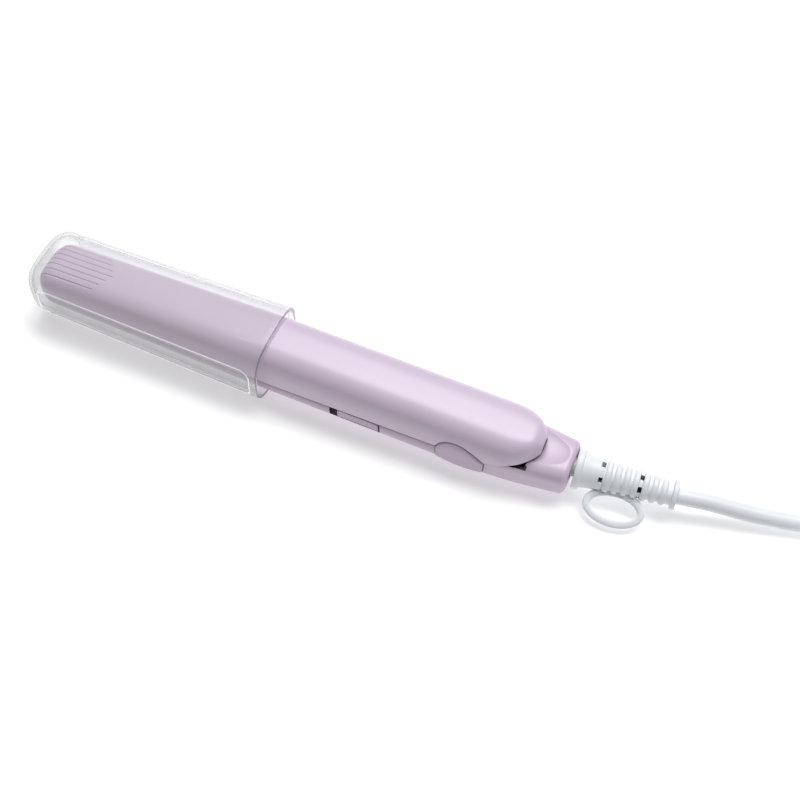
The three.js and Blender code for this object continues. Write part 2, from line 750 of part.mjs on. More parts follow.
// Windows round the guard that make it bend more easily.
function guardWindows() {
  const windows = [];
  for (const along of WINDOW_RINGS) {
    for (let i = 0; i < WINDOWS; i++) {
      const block = new THREE.BoxGeometry(1.4, 2.1, 3).translate(along, 0, 5.3);
      windows.push(toSolid(block.rotateX((2 * Math.PI * i) / WINDOWS + radians(WINDOW_TURN_DEG))));
    }
  }
  return windows;
}

// The hanging loop, flat in the plane that the guard's axis and the tilted side direction span.
function hangingLoop() {
  const shape = new THREE.Shape().absellipse(...LOOP_CENTRE, ...LOOP_OUTER, 0, 2 * Math.PI);
  shape.holes.push(new THREE.Path().absellipse(...LOOP_CENTRE, ...LOOP_HOLE, 0, 2 * Math.PI));
  const geometry = new THREE.ExtrudeGeometry(shape, { depth: LOOP_THICK, bevelEnabled: false, curveSegments: 18 });
  geometry.translate(0, 0, -LOOP_THICK / 2).rotateX(Math.PI + radians(LOOP_TILT_DEG));
  return toSolid(geometry);
}

function cordGuard() {
  const body = turned(guardProfile(), 28);
  const cordBore = cylinder("x", [GUARD_END - 6, GUARD_END + 1], [0, 0], CORD_BORE_R, 16);
  const stemBore = cylinder("x", [-1, 5], [0, 0], STEM_R + GAP, 24);
  const loop = cut(hangingLoop(), cylinder("x", [0, GUARD_END], [0, 0], 4, 16));
  return onGuardAxis(cut(join(body, loop), cordBore, stemBore, ...guardWindows()));
}

// The stem that the guard is pressed on, with a collar behind the tail wall and a spindle for the rings.
const swivelStem = () =>
  onGuardAxis(
    turned(
      [
        [SPINDLE_START, 0],
        [SPINDLE_START, SPINDLE_R],
        [-8.9, SPINDLE_R],
        [-8.9, COLLAR_R],
        [-6.2, COLLAR_R],
        [-6.2, STEM_R],
        [4.7, STEM_R],
        [4.7, 0],
      ],
      24,
    ),
  );

// A slip ring on the spindle, which takes the current past the swivel.
function slipRing(from) {
  const ring = cylinder("x", [from, from + SLIP_WIDTH], [0, 0], SLIP_R, 20);
  return onGuardAxis(cut(ring, cylinder("x", [-20, 0], [0, 0], SPINDLE_R + 0.1, 16)));
}

// The spring contact that presses on a slip ring from below.
function brush(x) {
  const foot = box([x - 0.4, x + 0.4], [-3.6, -0.4], [-7.9, -7.4]);
  const blade = box([x - 0.4, x + 0.4], [-1, -0.4], [-7.9, GUARD_Z - SLIP_R - GAP]);
  return join(foot, blade);
}

// The bush in the tail wall that the stem turns in.
function swivelBush() {
  const ring = cylinder("x", [-5.2, -1], [0, 0], BUSH_BORE_R - GAP, 24);
  return onGuardAxis(cut(ring, cylinder("x", [-7, 1], [0, 0], STEM_R + 0.1, 24)));
}

// ---- cord ---------------------------------------------------------------------------------------

const cord = (route, steps) => tube(through(route), CORD_R, steps, 10);

function cordHank() {
  const shape = new THREE.Shape();
  shape.absarc(HANK_X[1], HANK_Y, HANK_R, -Math.PI / 2, Math.PI / 2);
  shape.absarc(HANK_X[0], HANK_Y, HANK_R, Math.PI / 2, (3 * Math.PI) / 2);
  const depth = HANK_Z[1] - HANK_Z[0];
  const geometry = new THREE.ExtrudeGeometry(shape, { depth, bevelEnabled: false, curveSegments: 14 });
  return toSolid(geometry.translate(0, 0, HANK_Z[0]));
}

// A strap around the hank.
function hankTie() {
  const half = HANK_R + GAP + TIE_THICK;
  const top = HANK_Z[1] + GAP;
  const strap = box(TIE_X, [HANK_Y - half, HANK_Y + half], [0, top + TIE_THICK]);
  return cut(strap, box([0, FAR * 2], [HANK_Y - half + TIE_THICK, HANK_Y + half - TIE_THICK], [TIE_THICK, top]));
}

// A flat two-pin plug, lying on the hank with its pins away from the tool.
function plugBody() {
  const side = (sign) => PLUG_X.map((x, i) => new THREE.Vector2(x, HANK_Y + sign * PLUG_HALF[i]));
  const shape = new THREE.Shape([...side(-1), ...side(1).reverse()]);
  const geometry = new THREE.ExtrudeGeometry(shape, { depth: PLUG_THICK, bevelEnabled: false });
  const block = toSolid(geometry.translate(0, 0, PLUG_Z - PLUG_THICK / 2));
  const collars = [1, -1].map((sign) => {
    const z = [PLUG_Z + (sign * PLUG_COLLAR_THICK) / 2, PLUG_Z + sign * PLUG_THICK].sort((a, b) => a - b);
    return box([0, PLUG_X[1]], [-FAR, FAR], z);
  });
  return cut(block, ...collars, plugPin(1, GAP), plugPin(-1, GAP));
}

function plugPin(side, margin = 0) {
  const centre = [HANK_Y + side * PLUG_PIN_Y, PLUG_Z];
  return cylinder("x", [PLUG_PIN_X[0] - margin, PLUG_PIN_X[1]], centre, PLUG_PIN_R + margin, 14);
}

// ---- assembly -----------------------------------------------------------------------------------

const MATERIALS = {
  lilac: { color: 0xd5c8da, roughness: 0.42, metalness: 0 },
  lilac_trim: { color: 0xcdb9d0, roughness: 0.45, metalness: 0 },
  clear: { color: 0xe6eaee, roughness: 0.08, metalness: 0, transparent: true, opacity: 0.3 },
  white: { color: 0xeef1f4, roughness: 0.5, metalness: 0 },
  dark: { color: 0x3a3a3f, roughness: 0.6, metalness: 0 },
  ceramic: { color: 0xd9cfc4, roughness: 0.5, metalness: 0 },
  plate: { color: 0xb9a9c4, roughness: 0.25, metalness: 0.8 },
  steel: { color: 0xb8bcc2, roughness: 0.3, metalness: 1 },
  brass: { color: 0xc9a45a, roughness: 0.3, metalness: 1 },
  wire: { color: 0xb23a32, roughness: 0.5, metalness: 0 },
};

function part(name, solid, material) {
  const mesh = new THREE.Mesh(toGeometry(solid), new THREE.MeshStandardMaterial(MATERIALS[material]));
  mesh.name = name;
  return mesh;
}

function lowerArm() {
  const group = new THREE.Group();
  group.add(
    part("lower_shell", lowerShell(), "lilac"),
    part("lower_inner_cover", lowerInnerCover(), "lilac_trim"),
    part("lower_plate_carrier", plateCarrier(-1), "dark"),
    part("lower_crimp_plate", crimpPlate(-1), "plate"),
    part("lower_heater", heater(-1), "ceramic"),
    part("lower_heater_clip", heaterClip(-1), "steel"),
    part("switch_body", switchBody(), "dark"),
    part("lock_guide", lockGuide(), "white"),
    part("thermal_fuse", thermalFuse(), "steel"),
    part("lower_wire_near", wire(WIRE_NEAR), "wire"),
    part("lower_wire_far", wire(WIRE_FAR), "wire"),
    part("hinge_pin", hingePin(), "steel"),
    part("hinge_spring", hingeSpring(), "steel"),
    part("swivel_bush", swivelBush(), "brass"),
    ...SLIP_RINGS.map((from, i) => part(`brush_${i + 1}`, brush(TAIL_X + from + SLIP_WIDTH / 2), "brass")),
    ...LOWER_SCREWS_X.map((x, i) => part(`base_screw_${i + 1}`, baseScrew(x), "steel")),
  );
  return group;
}

function upperArm() {
  const group = new THREE.Group();
  group.add(
    part("upper_shell", upperShell(), "lilac"),
    part("upper_inner_cover", upperInnerCover(), "lilac_trim"),
    part("upper_plate_carrier", plateCarrier(1), "dark"),
    part("upper_crimp_plate", crimpPlate(1), "plate"),
    part("upper_heater", heater(1), "ceramic"),
    part("upper_heater_clip", heaterClip(1), "steel"),
    part("upper_wire_near", upperWire(-1), "wire"),
    part("upper_wire_far", upperWire(1), "wire"),
    part("hinge_bush_near", hingeBush(-1), "brass"),
    part("hinge_bush_far", hingeBush(1), "brass"),
    ...UPPER_SCREWS_X.map((x, i) => part(`cover_screw_${i + 1}`, coverScrew(x), "steel")),
  );
  return group;
}

function tool() {
  const group = new THREE.Group();
  group.add(
    lowerArm(),
    upperArm(),
    part("protective_cover", protectiveCover(), "clear"),
    part("power_slider", powerSlider(), "lilac_trim"),
    part("lock_button", lockButton(), "lilac_trim"),
    part("cord_guard", cordGuard(), "white"),
    part("swivel_stem", swivelStem(), "white"),
    ...SLIP_RINGS.map((from, i) => part(`slip_ring_${i + 1}`, slipRing(from), "brass")),
  );
  group.rotation.y = radians(PITCH_DEG);
  return group;
}

function mainsLead() {
  const group = new THREE.Group();
  group.add(
    part("power_cord", cord(CORD_ROUTE, 20), "white"),
    part("cord_hank", cordHank(), "white"),
    part("cord_tail", cord(CORD_TAIL, 8), "white"),
    part("hank_tie", hankTie(), "dark"),
    part("plug_body", plugBody(), "white"),
    part("plug_pin_near", plugPin(-1), "steel"),
    part("plug_pin_far", plugPin(1), "steel"),
  );
  return group;
}

// The tool's own box decides the origin: under its middle, on the table.
const body = tool();
const bounds = new THREE.Box3().setFromObject(body, true);
const middle = bounds.getCenter(new THREE.Vector3());
const toOrigin = new THREE.Vector3(-middle.x, 0, -bounds.min.z);
body.position.add(toOrigin);

const crimper = new THREE.Group();
crimper.add(body, mainsLead());

export default crimper;
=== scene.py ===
"""A mini hair crimper with a clear cover, on a pale studio floor.

The shells, the cover, the cord guard, the buttons, the lead and the plug are fine meshes on the same
formulas and sizes as the CAD. They are drawn in millimetres in the tool's own frame (+X from the tip to
the cord, z = 0 on the body's axis) and then placed in the row frame, where the tool is pitched a little
because it lies on its cover's rim and on the back of its lower shell.
"""

import math

import bmesh
import bpy
import numpy as np
from mathutils import Matrix, Vector


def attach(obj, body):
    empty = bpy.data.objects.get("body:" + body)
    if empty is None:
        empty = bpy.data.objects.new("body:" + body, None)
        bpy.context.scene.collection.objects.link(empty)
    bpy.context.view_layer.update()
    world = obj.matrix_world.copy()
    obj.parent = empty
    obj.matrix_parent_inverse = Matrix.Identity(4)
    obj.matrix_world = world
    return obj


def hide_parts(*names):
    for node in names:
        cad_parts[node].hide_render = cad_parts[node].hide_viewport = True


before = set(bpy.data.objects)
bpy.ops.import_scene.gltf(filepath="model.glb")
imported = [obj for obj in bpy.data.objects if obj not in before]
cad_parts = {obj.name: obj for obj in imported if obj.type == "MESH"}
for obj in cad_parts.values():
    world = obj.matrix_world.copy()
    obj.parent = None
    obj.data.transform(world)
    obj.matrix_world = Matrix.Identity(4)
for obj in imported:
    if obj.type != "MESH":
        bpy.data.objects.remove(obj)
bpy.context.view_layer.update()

MM = 0.001

# ---- the CAD's driving dimensions, in millimetres ------------------------------------------------

PITCH = math.radians(1.5)
TOOL_OFFSET = (-19.2752, 0.0, 13.5121)
WALL = 1.8
PARTING_Z = -2.0
ARM_TIP_X = -101.3
HEAD_X = -95.0
MOUTH_X = -7.0
TAPER_END_X = 75.0
TAIL_X = 106.0
TIP_ROUND = 6.5
HEAD_HALF = 11.1
BODY_HALF = 12.2
LOWER_INSET = 0.4
TAIL_HALF = 9.2
UPPER_HEAD_HEIGHT = 10.0
UPPER_HEIGHT = 13.8
LOWER_HEAD_DEPTH = 7.6
LOWER_DEPTH = 9.8
TAIL_DEPTH = 7.5
TAIL_RISE = 6.8
TAIL_ROUND = 2.0
UPPER_SQUARE = 3.3
LOWER_SQUARE = 3.0
TAIL_SQUARE = 3.4
TONGUE_X = 81.8
TONGUE_LENGTH = 13.6
TONGUE_END_X = 95.1
TONGUE_ROUND = 5.5
SEAT_UPPER = [
    (-6, -1.75), (10, -1.4), (40, -0.6), (60, -0.1), (73, 0.1), (78.3, 0.4), (80.9, 1.4), (84.6, 3.1), (88.3, 4.2),
    (91.5, 5.1), (93.7, 5.4), (96, 5.6),
]
SEAT_LOWER = [
    (-6, -2.25), (10, -2.15), (40, -1.4), (60, -0.9), (73, -0.7), (78.3, -0.4), (80.9, 0.5), (84.6, 1.9), (88, 2.4),
    (90.9, 2.6), (91.4, 3.9), (94, 4.3), (99, 4.75),
]
PIVOT_X = 87.0
HINGE_ROOM_END = 91.4
HINGE_ROOM_HALF = 9.0
GROOVES = 7
GROOVE_PITCH = 2.45
GROOVE_R = 0.45
GROOVE_START_X = -100.2
GROOVE_END_X = -73.0
GROOVE_STAGGER = 1.5
SLOT_X = (19.3, 38.6)
SLOT_Z = (-7.0, -1.0)
SLIDER_X = (22.2, 37.9)
SLIDER_TOP = -2.25
LENS_X = (59.9, 77.5)
LENS_Z = (-0.3, 0.0)
LENS_ARCH = ((62.2, 5.9), (68.6, 6.8))
LENS_END_Z = -5.6
LENS_BOTTOM_Z = -7.6
LENS_PROUD = 0.75
LENS_DEPTH = 7.7
GAP = 0.3
COVER_TIP_X = -103.8
COVER_WALL = 1.15
COVER_ROUND = 7.0
COVER_TIP = (14.5, 12.0)
COVER_MOUTH = (16.2, 13.7)
GUARD_YAW = math.radians(6)
GUARD_Y = 0.5
GUARD_Z = -1.5
GUARD_START = 0.8
FLANGE_R = 7.3
NECK_R = (6.5, 5.7)
NECK_END = 10.3
RIBS = 7
RIB_PITCH = 3.23
RIB_R = (5.9, 4.7)
RIB_DEPTH = 0.85
GUARD_END = 36.15
END_FLANGE_R = 5.4
WINDOW_RINGS = (9.9, 23.4)
WINDOWS = 6
WINDOW_TURN = math.radians(-7)
STEM_R = 3.4
COLLAR_R = 4.2
BUSH_BORE_R = 4.3
CORD_BORE_R = 3.3
LOOP_TILT = math.radians(24)
LOOP_CENTRE = (16.8, 10.0)
LOOP_OUTER = (10.75, 6.75)
LOOP_HOLE = (8.0, 3.7)
LOOP_THICK = 2.2
SCREWS_LOWER_X = (4, 52)
CORD_D = 6.0
HANK_X = (203.0, 269.0)
HANK_Y = -4.0
PLUG_X = 265.0
PLUG_Z = 26.5

TO_ROW = Matrix.Translation(Vector(TOOL_OFFSET) * MM) @ Matrix.Rotation(PITCH, 4, "Y") @ Matrix.Scale(MM, 4)
TO_TABLE = Matrix.Scale(MM, 4)
GUARD_AXIS = Matrix.Translation((TAIL_X, GUARD_Y, GUARD_Z)) @ Matrix.Rotation(GUARD_YAW, 4, "Z")


# ---- small tools ---------------------------------------------------------------------------------


def lerp(a, b, t):
    return a + (b - a) * t


def clamp(t):
    return min(max(t, 0.0), 1.0)


def smoothstep(x, a, b):
    t = clamp((x - a) / (b - a))
    return t * t * (3 - 2 * t)


def between(x, ends, values):
    return lerp(values[0], values[1], clamp((x - ends[0]) / (ends[1] - ends[0])))


def drawn_in(distance, radius):
    """How far a rounded end of that radius has drawn in, at a distance from that end."""
    if distance >= radius:
        return 0.0
    return radius - math.sqrt(max(radius**2 - (radius - max(distance, 0.0)) ** 2, 0.0))


def new_object(name, mesh):
    obj = bpy.data.objects.new(name, mesh)
    bpy.context.scene.collection.objects.link(obj)
    return obj


def from_faces(name, points, faces):
    mesh = bpy.data.meshes.new(name)
    mesh.from_pydata([tuple(map(float, p)) for p in points], [], faces)
    mesh.update()
    return new_object(name, mesh)


def remove(obj):
    mesh = obj.data
    bpy.data.objects.remove(obj)
    bpy.data.meshes.remove(mesh)


def freeze(obj):
    """Applies the object's modifiers to its mesh."""
    bpy.context.view_layer.update()
    graph = bpy.context.evaluated_depsgraph_get()
    mesh = bpy.data.meshes.new_from_object(obj.evaluated_get(graph))
    old = obj.data
    obj.modifiers.clear()
    obj.data = mesh
    bpy.data.meshes.remove(old)


def clean(mesh, distance):
    """Merges vertices that lie together, drops faces that collapse and turns the faces outwards."""
    work = bmesh.new()
    work.from_mesh(mesh)
    bmesh.ops.remove_doubles(work, verts=work.verts, dist=distance)
    bmesh.ops.dissolve_degenerate(work, edges=work.edges, dist=distance)
    bmesh.ops.recalc_face_normals(work, faces=work.faces)
    work.to_mesh(mesh)
    work.free()


def combine(obj, tool, operation="DIFFERENCE"):
    """Cuts the tool from the object, or joins it on, and removes the tool."""
    modifier = obj.modifiers.new("boolean", "BOOLEAN")
    modifier.operation = operation
    modifier.solver = "EXACT"
    modifier.object = tool
    freeze(obj)
    remove(tool)
    clean(obj.data, 1e-3)
    if len(obj.data.polygons) < 50:
        raise RuntimeError(f"a boolean emptied {obj.name}")


def finish_piece(obj, matrix, material, sharp=35, inner=None, is_inner=None):
    """Places a piece drawn in millimetres, shades it smooth up to an angle and gives it its material.

    The faces whose middle is_inner accepts get the inner material, a painted shade for the piece's insides.
    """
    mesh = obj.data
    clean(mesh, 0.003)
    mesh.materials.clear()
    mesh.materials.append(material)
    if inner:
        mesh.materials.append(inner)
        for polygon in mesh.polygons:
            polygon.material_index = 1 if is_inner(*polygon.center) else 0
    mesh.transform(matrix)
    mesh.shade_smooth()
    mesh.set_sharp_from_angle(angle=math.radians(sharp))
    return obj


def box(name, x, y, z):
    points = [(a, b, c) for a in x for b in y for c in z]
    faces = [(0, 1, 3, 2), (4, 6, 7, 5), (0, 4, 5, 1), (2, 3, 7, 6), (0, 2, 6, 4), (1, 5, 7, 3)]
    return from_faces(name, points, faces)


def rings(name, sections, closed_ends=True):
    """A closed body through sections of equal count, each a list of points round the body."""
    count = len(sections[0])
    points = [p for section in sections for p in section]
    faces = []
    for i in range(len(sections) - 1):
        for j in range(count):
            k = (j + 1) % count
            faces.append((i * count + j, i * count + k, (i + 1) * count + k, (i + 1) * count + j))
    if closed_ends:
        faces.append(tuple(range(count))[::-1])
        last = (len(sections) - 1) * count
        faces.append(tuple(range(last, last + count)))
    obj = from_faces(name, points, faces)
    face_outwards(obj)
    return obj


def face_outwards(obj):
    clean(obj.data, 1e-6)


def cylinder(name, axis, span, centre, radius, sides=48):
    """A cylinder along x, y or z over a span, at centre on the other two axes in order."""
    sections = []
    for along in span:
        ring = []
        for i in range(sides):
            angle = 2 * math.pi * i / sides
            a = centre[0] + radius * math.cos(angle)
            b = centre[1] + radius * math.sin(angle)
            ring.append({"x": (along, a, b), "y": (a, along, b), "z": (a, b, along)}[axis])
        sections.append(ring)
    return rings(name, sections)


def across_y(name, outline, y):
    """An outline of (x, z) points, extruded across the tool."""
    return rings(name, [[(x, a, z) for x, z in outline] for a in y])


def spline(points, count):
    """A smooth open curve through the points, resampled."""
    p = np.array([points[0], *points, points[-1]], float)
    p[0] = 2 * p[1] - p[2]
    p[-1] = 2 * p[-2] - p[-3]
    out = []
    for s in np.linspace(0, len(points) - 1, count):
        i = min(int(s), len(points) - 2)
        t = s - i
        a, b, c, d = p[i : i + 4]
        out.append(
            0.5 * (2 * b + (c - a) * t + (2 * a - 5 * b + 4 * c - d) * t**2 + (3 * b - a - 3 * c + d) * t**3)
        )
    return np.array(out)


def even(points, count):
    """The same polyline with that many points at equal distances."""
    points = np.asarray(points, float)
    steps = np.linalg.norm(np.diff(points, axis=0), axis=1)
    at = np.concatenate([[0], np.cumsum(steps)])
    wanted = np.linspace(0, at[-1], count)
    return np.stack([np.interp(wanted, at, points[:, i]) for i in range(points.shape[1])], axis=1)


def half_outline(square, half, height, count):
    """The upper half of a superellipse from +half to -half, at equal distances."""
    angle = np.linspace(0, math.pi, 1200)
    y = half * np.sign(np.cos(angle)) * np.abs(np.cos(angle)) ** (2 / square)
    z = height * np.clip(np.sin(angle), 0, 1) ** (2 / square)
    return even(np.stack([y, z], axis=1), count)


def half_body(name, stations, square, size_at, base_z, side, count=96):
    """A body along X on a flat base: a superellipse half at each station, above the base or below it."""
    sections = []
    for x in stations:
        half, height = size_at(x)
        outline = half_outline(square, max(half, 0.02), max(height, 0.02), count)
        sections.append([(x, side * y, base_z + side * z) for y, z in outline])
    return rings(name, sections)


def rounded_end(start, radius, towards, steps=22):
    """Stations close together at a rounded end."""
    return [start + towards * radius * (1 - math.cos(math.pi / 2 * i / steps)) for i in range(steps + 1)]


def stretch(a, b, step):
    count = max(int(round(abs(b - a) / step)), 1)
    return [lerp(a, b, i / count) for i in range(1, count + 1)]


# ---- sizes along the tool ------------------------------------------------------------------------


def towards_tail(x):
    """How much of the narrowing to the tail has happened. It would go on beyond the tail face."""
    return smoothstep(x, TAPER_END_X, TAIL_X + 12) * 1.25


def lower_half(x):
    head = between(x, (HEAD_X, MOUTH_X), (HEAD_HALF, BODY_HALF))
    inset = between(x, (TAPER_END_X, TONGUE_END_X), (LOWER_INSET, 0))
    return head - inset - (BODY_HALF - TAIL_HALF) * towards_tail(x)


def upper_size(x, inset=0.0):
    tip = drawn_in(x - ARM_TIP_X - inset, TIP_ROUND - inset)
    height = between(x, (HEAD_X, MOUTH_X), (UPPER_HEAD_HEIGHT, UPPER_HEIGHT))
    tail = drawn_in(TONGUE_END_X - x, TONGUE_ROUND)
    run = clamp((x - TONGUE_X) / TONGUE_LENGTH)
    plan = between(x, (HEAD_X, MOUTH_X), (HEAD_HALF, BODY_HALF)) * math.sqrt(1 - run**2)
    return plan - tip - inset, height - tip - tail - inset


def lower_size(x, inset=0.0):
    tip = drawn_in(x - ARM_TIP_X - inset, TIP_ROUND - inset)
    end = drawn_in(TAIL_X - x, TAIL_ROUND)
    head = between(x, (HEAD_X, MOUTH_X), (LOWER_HEAD_DEPTH, LOWER_DEPTH))
    depth = head - (LOWER_DEPTH - TAIL_DEPTH) * towards_tail(x)
    return lower_half(x) - tip - end - inset, depth - tip * 0.8 - end - inset


def tail_size(x, inset=0.0):
    end = drawn_in(TAIL_X - x, TAIL_ROUND)
    return lower_half(x) - end - inset, TAIL_RISE - end - inset * 1.8


def within(y, z, size, square):
    half, height = size
    return half > 0 and height > 0 and abs(y / half) ** square + abs(z / height) ** square < 1


def inside_upper(x, y, z):
    """Whether a place is well inside the upper shell's outer surface."""
    return within(y, z - PARTING_Z, upper_size(min(max(x, ARM_TIP_X + 1), TONGUE_END_X - 0.6), 0.7), UPPER_SQUARE)


def inside_lower(x, y, z):
    """Whether a place is well inside the lower shell's outer surface, in front of the dished landing."""
    if z < PARTING_Z:
        return x < TAIL_X - 1 and within(y, z - PARTING_Z, lower_size(max(x, ARM_TIP_X + 1), 0.7), LOWER_SQUARE)
    return x < HINGE_ROOM_END + 0.2 and abs(y) < lower_half(x) - 0.7


def surface_z(x, y):
    half, height = upper_size(x)
    return PARTING_Z + height * (1 - abs(y / half) ** UPPER_SQUARE) ** (1 / UPPER_SQUARE)


def cover_size(x, inset=0.0):
    tip = drawn_in(x - COVER_TIP_X - inset, COVER_ROUND - inset)
    run = (x - COVER_TIP_X) / (MOUTH_X - COVER_TIP_X)
    half = lerp(COVER_TIP[0], COVER_MOUTH[0], run) - tip - inset
    return half, lerp(COVER_TIP[1], COVER_MOUTH[1], run) - tip - inset


# ---- materials -----------------------------------------------------------------------------------


def srgb(r, g, b):
    """The linear colour of an 8-bit sRGB one."""
    return tuple(((v / 255 + 0.055) / 1.055) ** 2.4 if v > 10 else v / 255 / 12.92 for v in (r, g, b)) + (1.0,)


def scaled(colour, factor):
    return tuple(min(c * factor, 1.0) for c in colour[:3]) + (1.0,)


def plastic(name, colour, roughness, grain=0.06, grain_scale=1400, mottle=0.03, **shader):
    """Moulded plastic: a slow change of shade, a fine grain in the gloss and in the surface."""
    material = bpy.data.materials.new(name)
    material.use_nodes = True
    nodes, links = material.node_tree.nodes, material.node_tree.links
    surface = nodes["Principled BSDF"]
    place = nodes.new("ShaderNodeTexCoord")
    slow = nodes.new("ShaderNodeTexNoise")
    slow.inputs["Scale"].default_value = 45
    slow.inputs["Detail"].default_value = 3
    fine = nodes.new("ShaderNodeTexNoise")
    fine.inputs["Scale"].default_value = grain_scale
    fine.inputs["Detail"].default_value = 4
    shade = nodes.new("ShaderNodeValToRGB")
    shade.color_ramp.elements[0].position = 0.3
    shade.color_ramp.elements[0].color = scaled(colour, 1 - mottle)
    shade.color_ramp.elements[1].position = 0.7
    shade.color_ramp.elements[1].color = scaled(colour, 1 + mottle)
    gloss = nodes.new("ShaderNodeMapRange")
    gloss.inputs["To Min"].default_value = roughness - 0.05
    gloss.inputs["To Max"].default_value = roughness + 0.05
    bump = nodes.new("ShaderNodeBump")
    bump.inputs["Strength"].default_value = grain
    bump.inputs["Distance"].default_value = 0.0002
    for texture in (slow, fine):
        links.new(place.outputs["Object"], texture.inputs["Vector"])
    links.new(slow.outputs["Fac"], shade.inputs["Fac"])
    links.new(shade.outputs["Color"], surface.inputs["Base Color"])
    links.new(fine.outputs["Fac"], gloss.inputs["Value"])
    links.new(gloss.outputs["Result"], surface.inputs["Roughness"])
    links.new(fine.outputs["Fac"], bump.inputs["Height"])
    links.new(bump.outputs["Normal"], surface.inputs["Normal"])
    for key, value in shader.items():
        surface.inputs[key.replace("_", " ")].default_value = value
    return material


def metal(name, colour, roughness, along=(1, 1, 1), grain=0.1):
    """Metal with a drawn or brushed grain: noise that is stretched along one direction."""
    material = plastic(name, colour, roughness, grain, 900, 0.08, Metallic=1.0)
    nodes, links = material.node_tree.nodes, material.node_tree.links
    place = nodes["Texture Coordinate"]
    mapping = nodes.new("ShaderNodeMapping")
    mapping.inputs["Scale"].default_value = along
    links.new(place.outputs["Object"], mapping.inputs["Vector"])
    for node in [n for n in nodes if n.bl_idname == "ShaderNodeTexNoise"]:
        links.new(mapping.outputs["Vector"], node.inputs["Vector"])
    return material


def mixed_in(material, factor, colour):
    """Blends the base colour towards another one, by a factor from another node."""
    nodes, links = material.node_tree.nodes, material.node_tree.links
    base = nodes["Principled BSDF"].inputs["Base Color"]
    mix = nodes.new("ShaderNodeMix")
    mix.data_type = "RGBA"
    links.new(factor, mix.inputs["Factor"])
    links.new(base.links[0].from_socket, mix.inputs["A"])
    mix.inputs["B"].default_value = colour
    links.new(mix.outputs["Result"], base)


def ranged(material, value, source, target):
    """A smooth step of a node's value from one range to another."""
    step = material.node_tree.nodes.new("ShaderNodeMapRange")
    step.interpolation_type = "SMOOTHSTEP"
    step.inputs["From Min"].default_value, step.inputs["From Max"].default_value = source
    step.inputs["To Min"].default_value, step.inputs["To Max"].default_value = target
    material.node_tree.links.new(value, step.inputs["Value"])
    return step.outputs["Result"]


def clear_plastic(name, colour, edge_colour, film, **shader):
    """Clear styrene: a thin film face on, and more opaque and darker where it is seen edge on."""
    material = plastic(name, colour, 0.07, 0.004, 220, 0.005, Specular_IOR_Level=0.6, **shader)
    surface = material.node_tree.nodes["Principled BSDF"]
    edge = material.node_tree.nodes.new("ShaderNodeLayerWeight")
    edge.inputs["Blend"].default_value = 0.5
    facing = edge.outputs["Facing"]
    material.node_tree.links.new(ranged(material, facing, (0.3, 1.0), film), surface.inputs["Alpha"])
    mixed_in(material, ranged(material, facing, (0.82, 0.98), (0, 1)), edge_colour)
    return material


# Painted shade on the lower shell under the upper shell's overhang: a broad band and a narrow, darker band along the
# parting line, fading out before the tail.
PAINTED_SHADE_DEPTH = 5.0  # how far the shading under the parting line reaches
PAINTED_DARK_BAND_DEPTH = 1.1
PAINTED_SHADE_FADE_X = (73.0, 80.0)


def shell_plastic_painted_shade(name, colour, painted_shade_colour, seat):
    """Shell plastic with painted shade along its parting line, where it is drawn in under the other shell and lies in
    its shadow.

    The line's height is a ramp along the body, and the painted shade fades out below it and before the tail.
    """
    material = plastic(name, colour, 0.38, 0.05, 1500, 0.015, Coat_Weight=0.2, Coat_Roughness=0.25)
    nodes, links = material.node_tree.nodes, material.node_tree.links
    to_body = TO_ROW.inverted()
    mapping = nodes.new("ShaderNodeMapping")
    mapping.inputs["Location"].default_value = to_body.to_translation()
    mapping.inputs["Rotation"].default_value = to_body.to_euler()
    mapping.inputs["Scale"].default_value = to_body.to_scale()
    links.new(nodes["Texture Coordinate"].outputs["Object"], mapping.inputs["Vector"])
    place = nodes.new("ShaderNodeSeparateXYZ")
    links.new(mapping.outputs["Vector"], place.inputs["Vector"])
    span = (seat[0][0], seat[-1][0])
    along = ranged(material, place.outputs["X"], span, (0, 1))
    along.node.interpolation_type = "LINEAR"
    line = nodes.new("ShaderNodeFloatCurve")
    curve = line.mapping.curves[0]
    for i, (x, z) in enumerate(seat):
        at = ((x - span[0]) / (span[1] - span[0]), (z + 7) / 14)
        if i in (0, 1):
            curve.points[-i].location = at
        else:
            curve.points.new(*at)
    line.mapping.update()
    links.new(along, line.inputs["Value"])
    height = nodes.new("ShaderNodeMath")
    height.operation = "MULTIPLY_ADD"
    links.new(line.outputs["Value"], height.inputs[0])
    height.inputs[1].default_value = -14
    links.new(place.outputs["Z"], height.inputs[2])
    before_tail = ranged(material, place.outputs["X"], PAINTED_SHADE_FADE_X, (1, 0))
    # the broad band of painted shade, then the narrow darker band right under the line
    for depth, share, colour in ((PAINTED_SHADE_DEPTH, 0.7, painted_shade_colour), (PAINTED_DARK_BAND_DEPTH, 0.8, scaled(painted_shade_colour, 0.35))):
        shaded = nodes.new("ShaderNodeMath")
        shaded.operation = "MULTIPLY"
        links.new(ranged(material, height.outputs["Value"], (-7 - depth, -7.1), (0, share)), shaded.inputs[0])
        links.new(before_tail, shaded.inputs[1])
        mixed_in(material, shaded.outputs["Value"], colour)
    return material


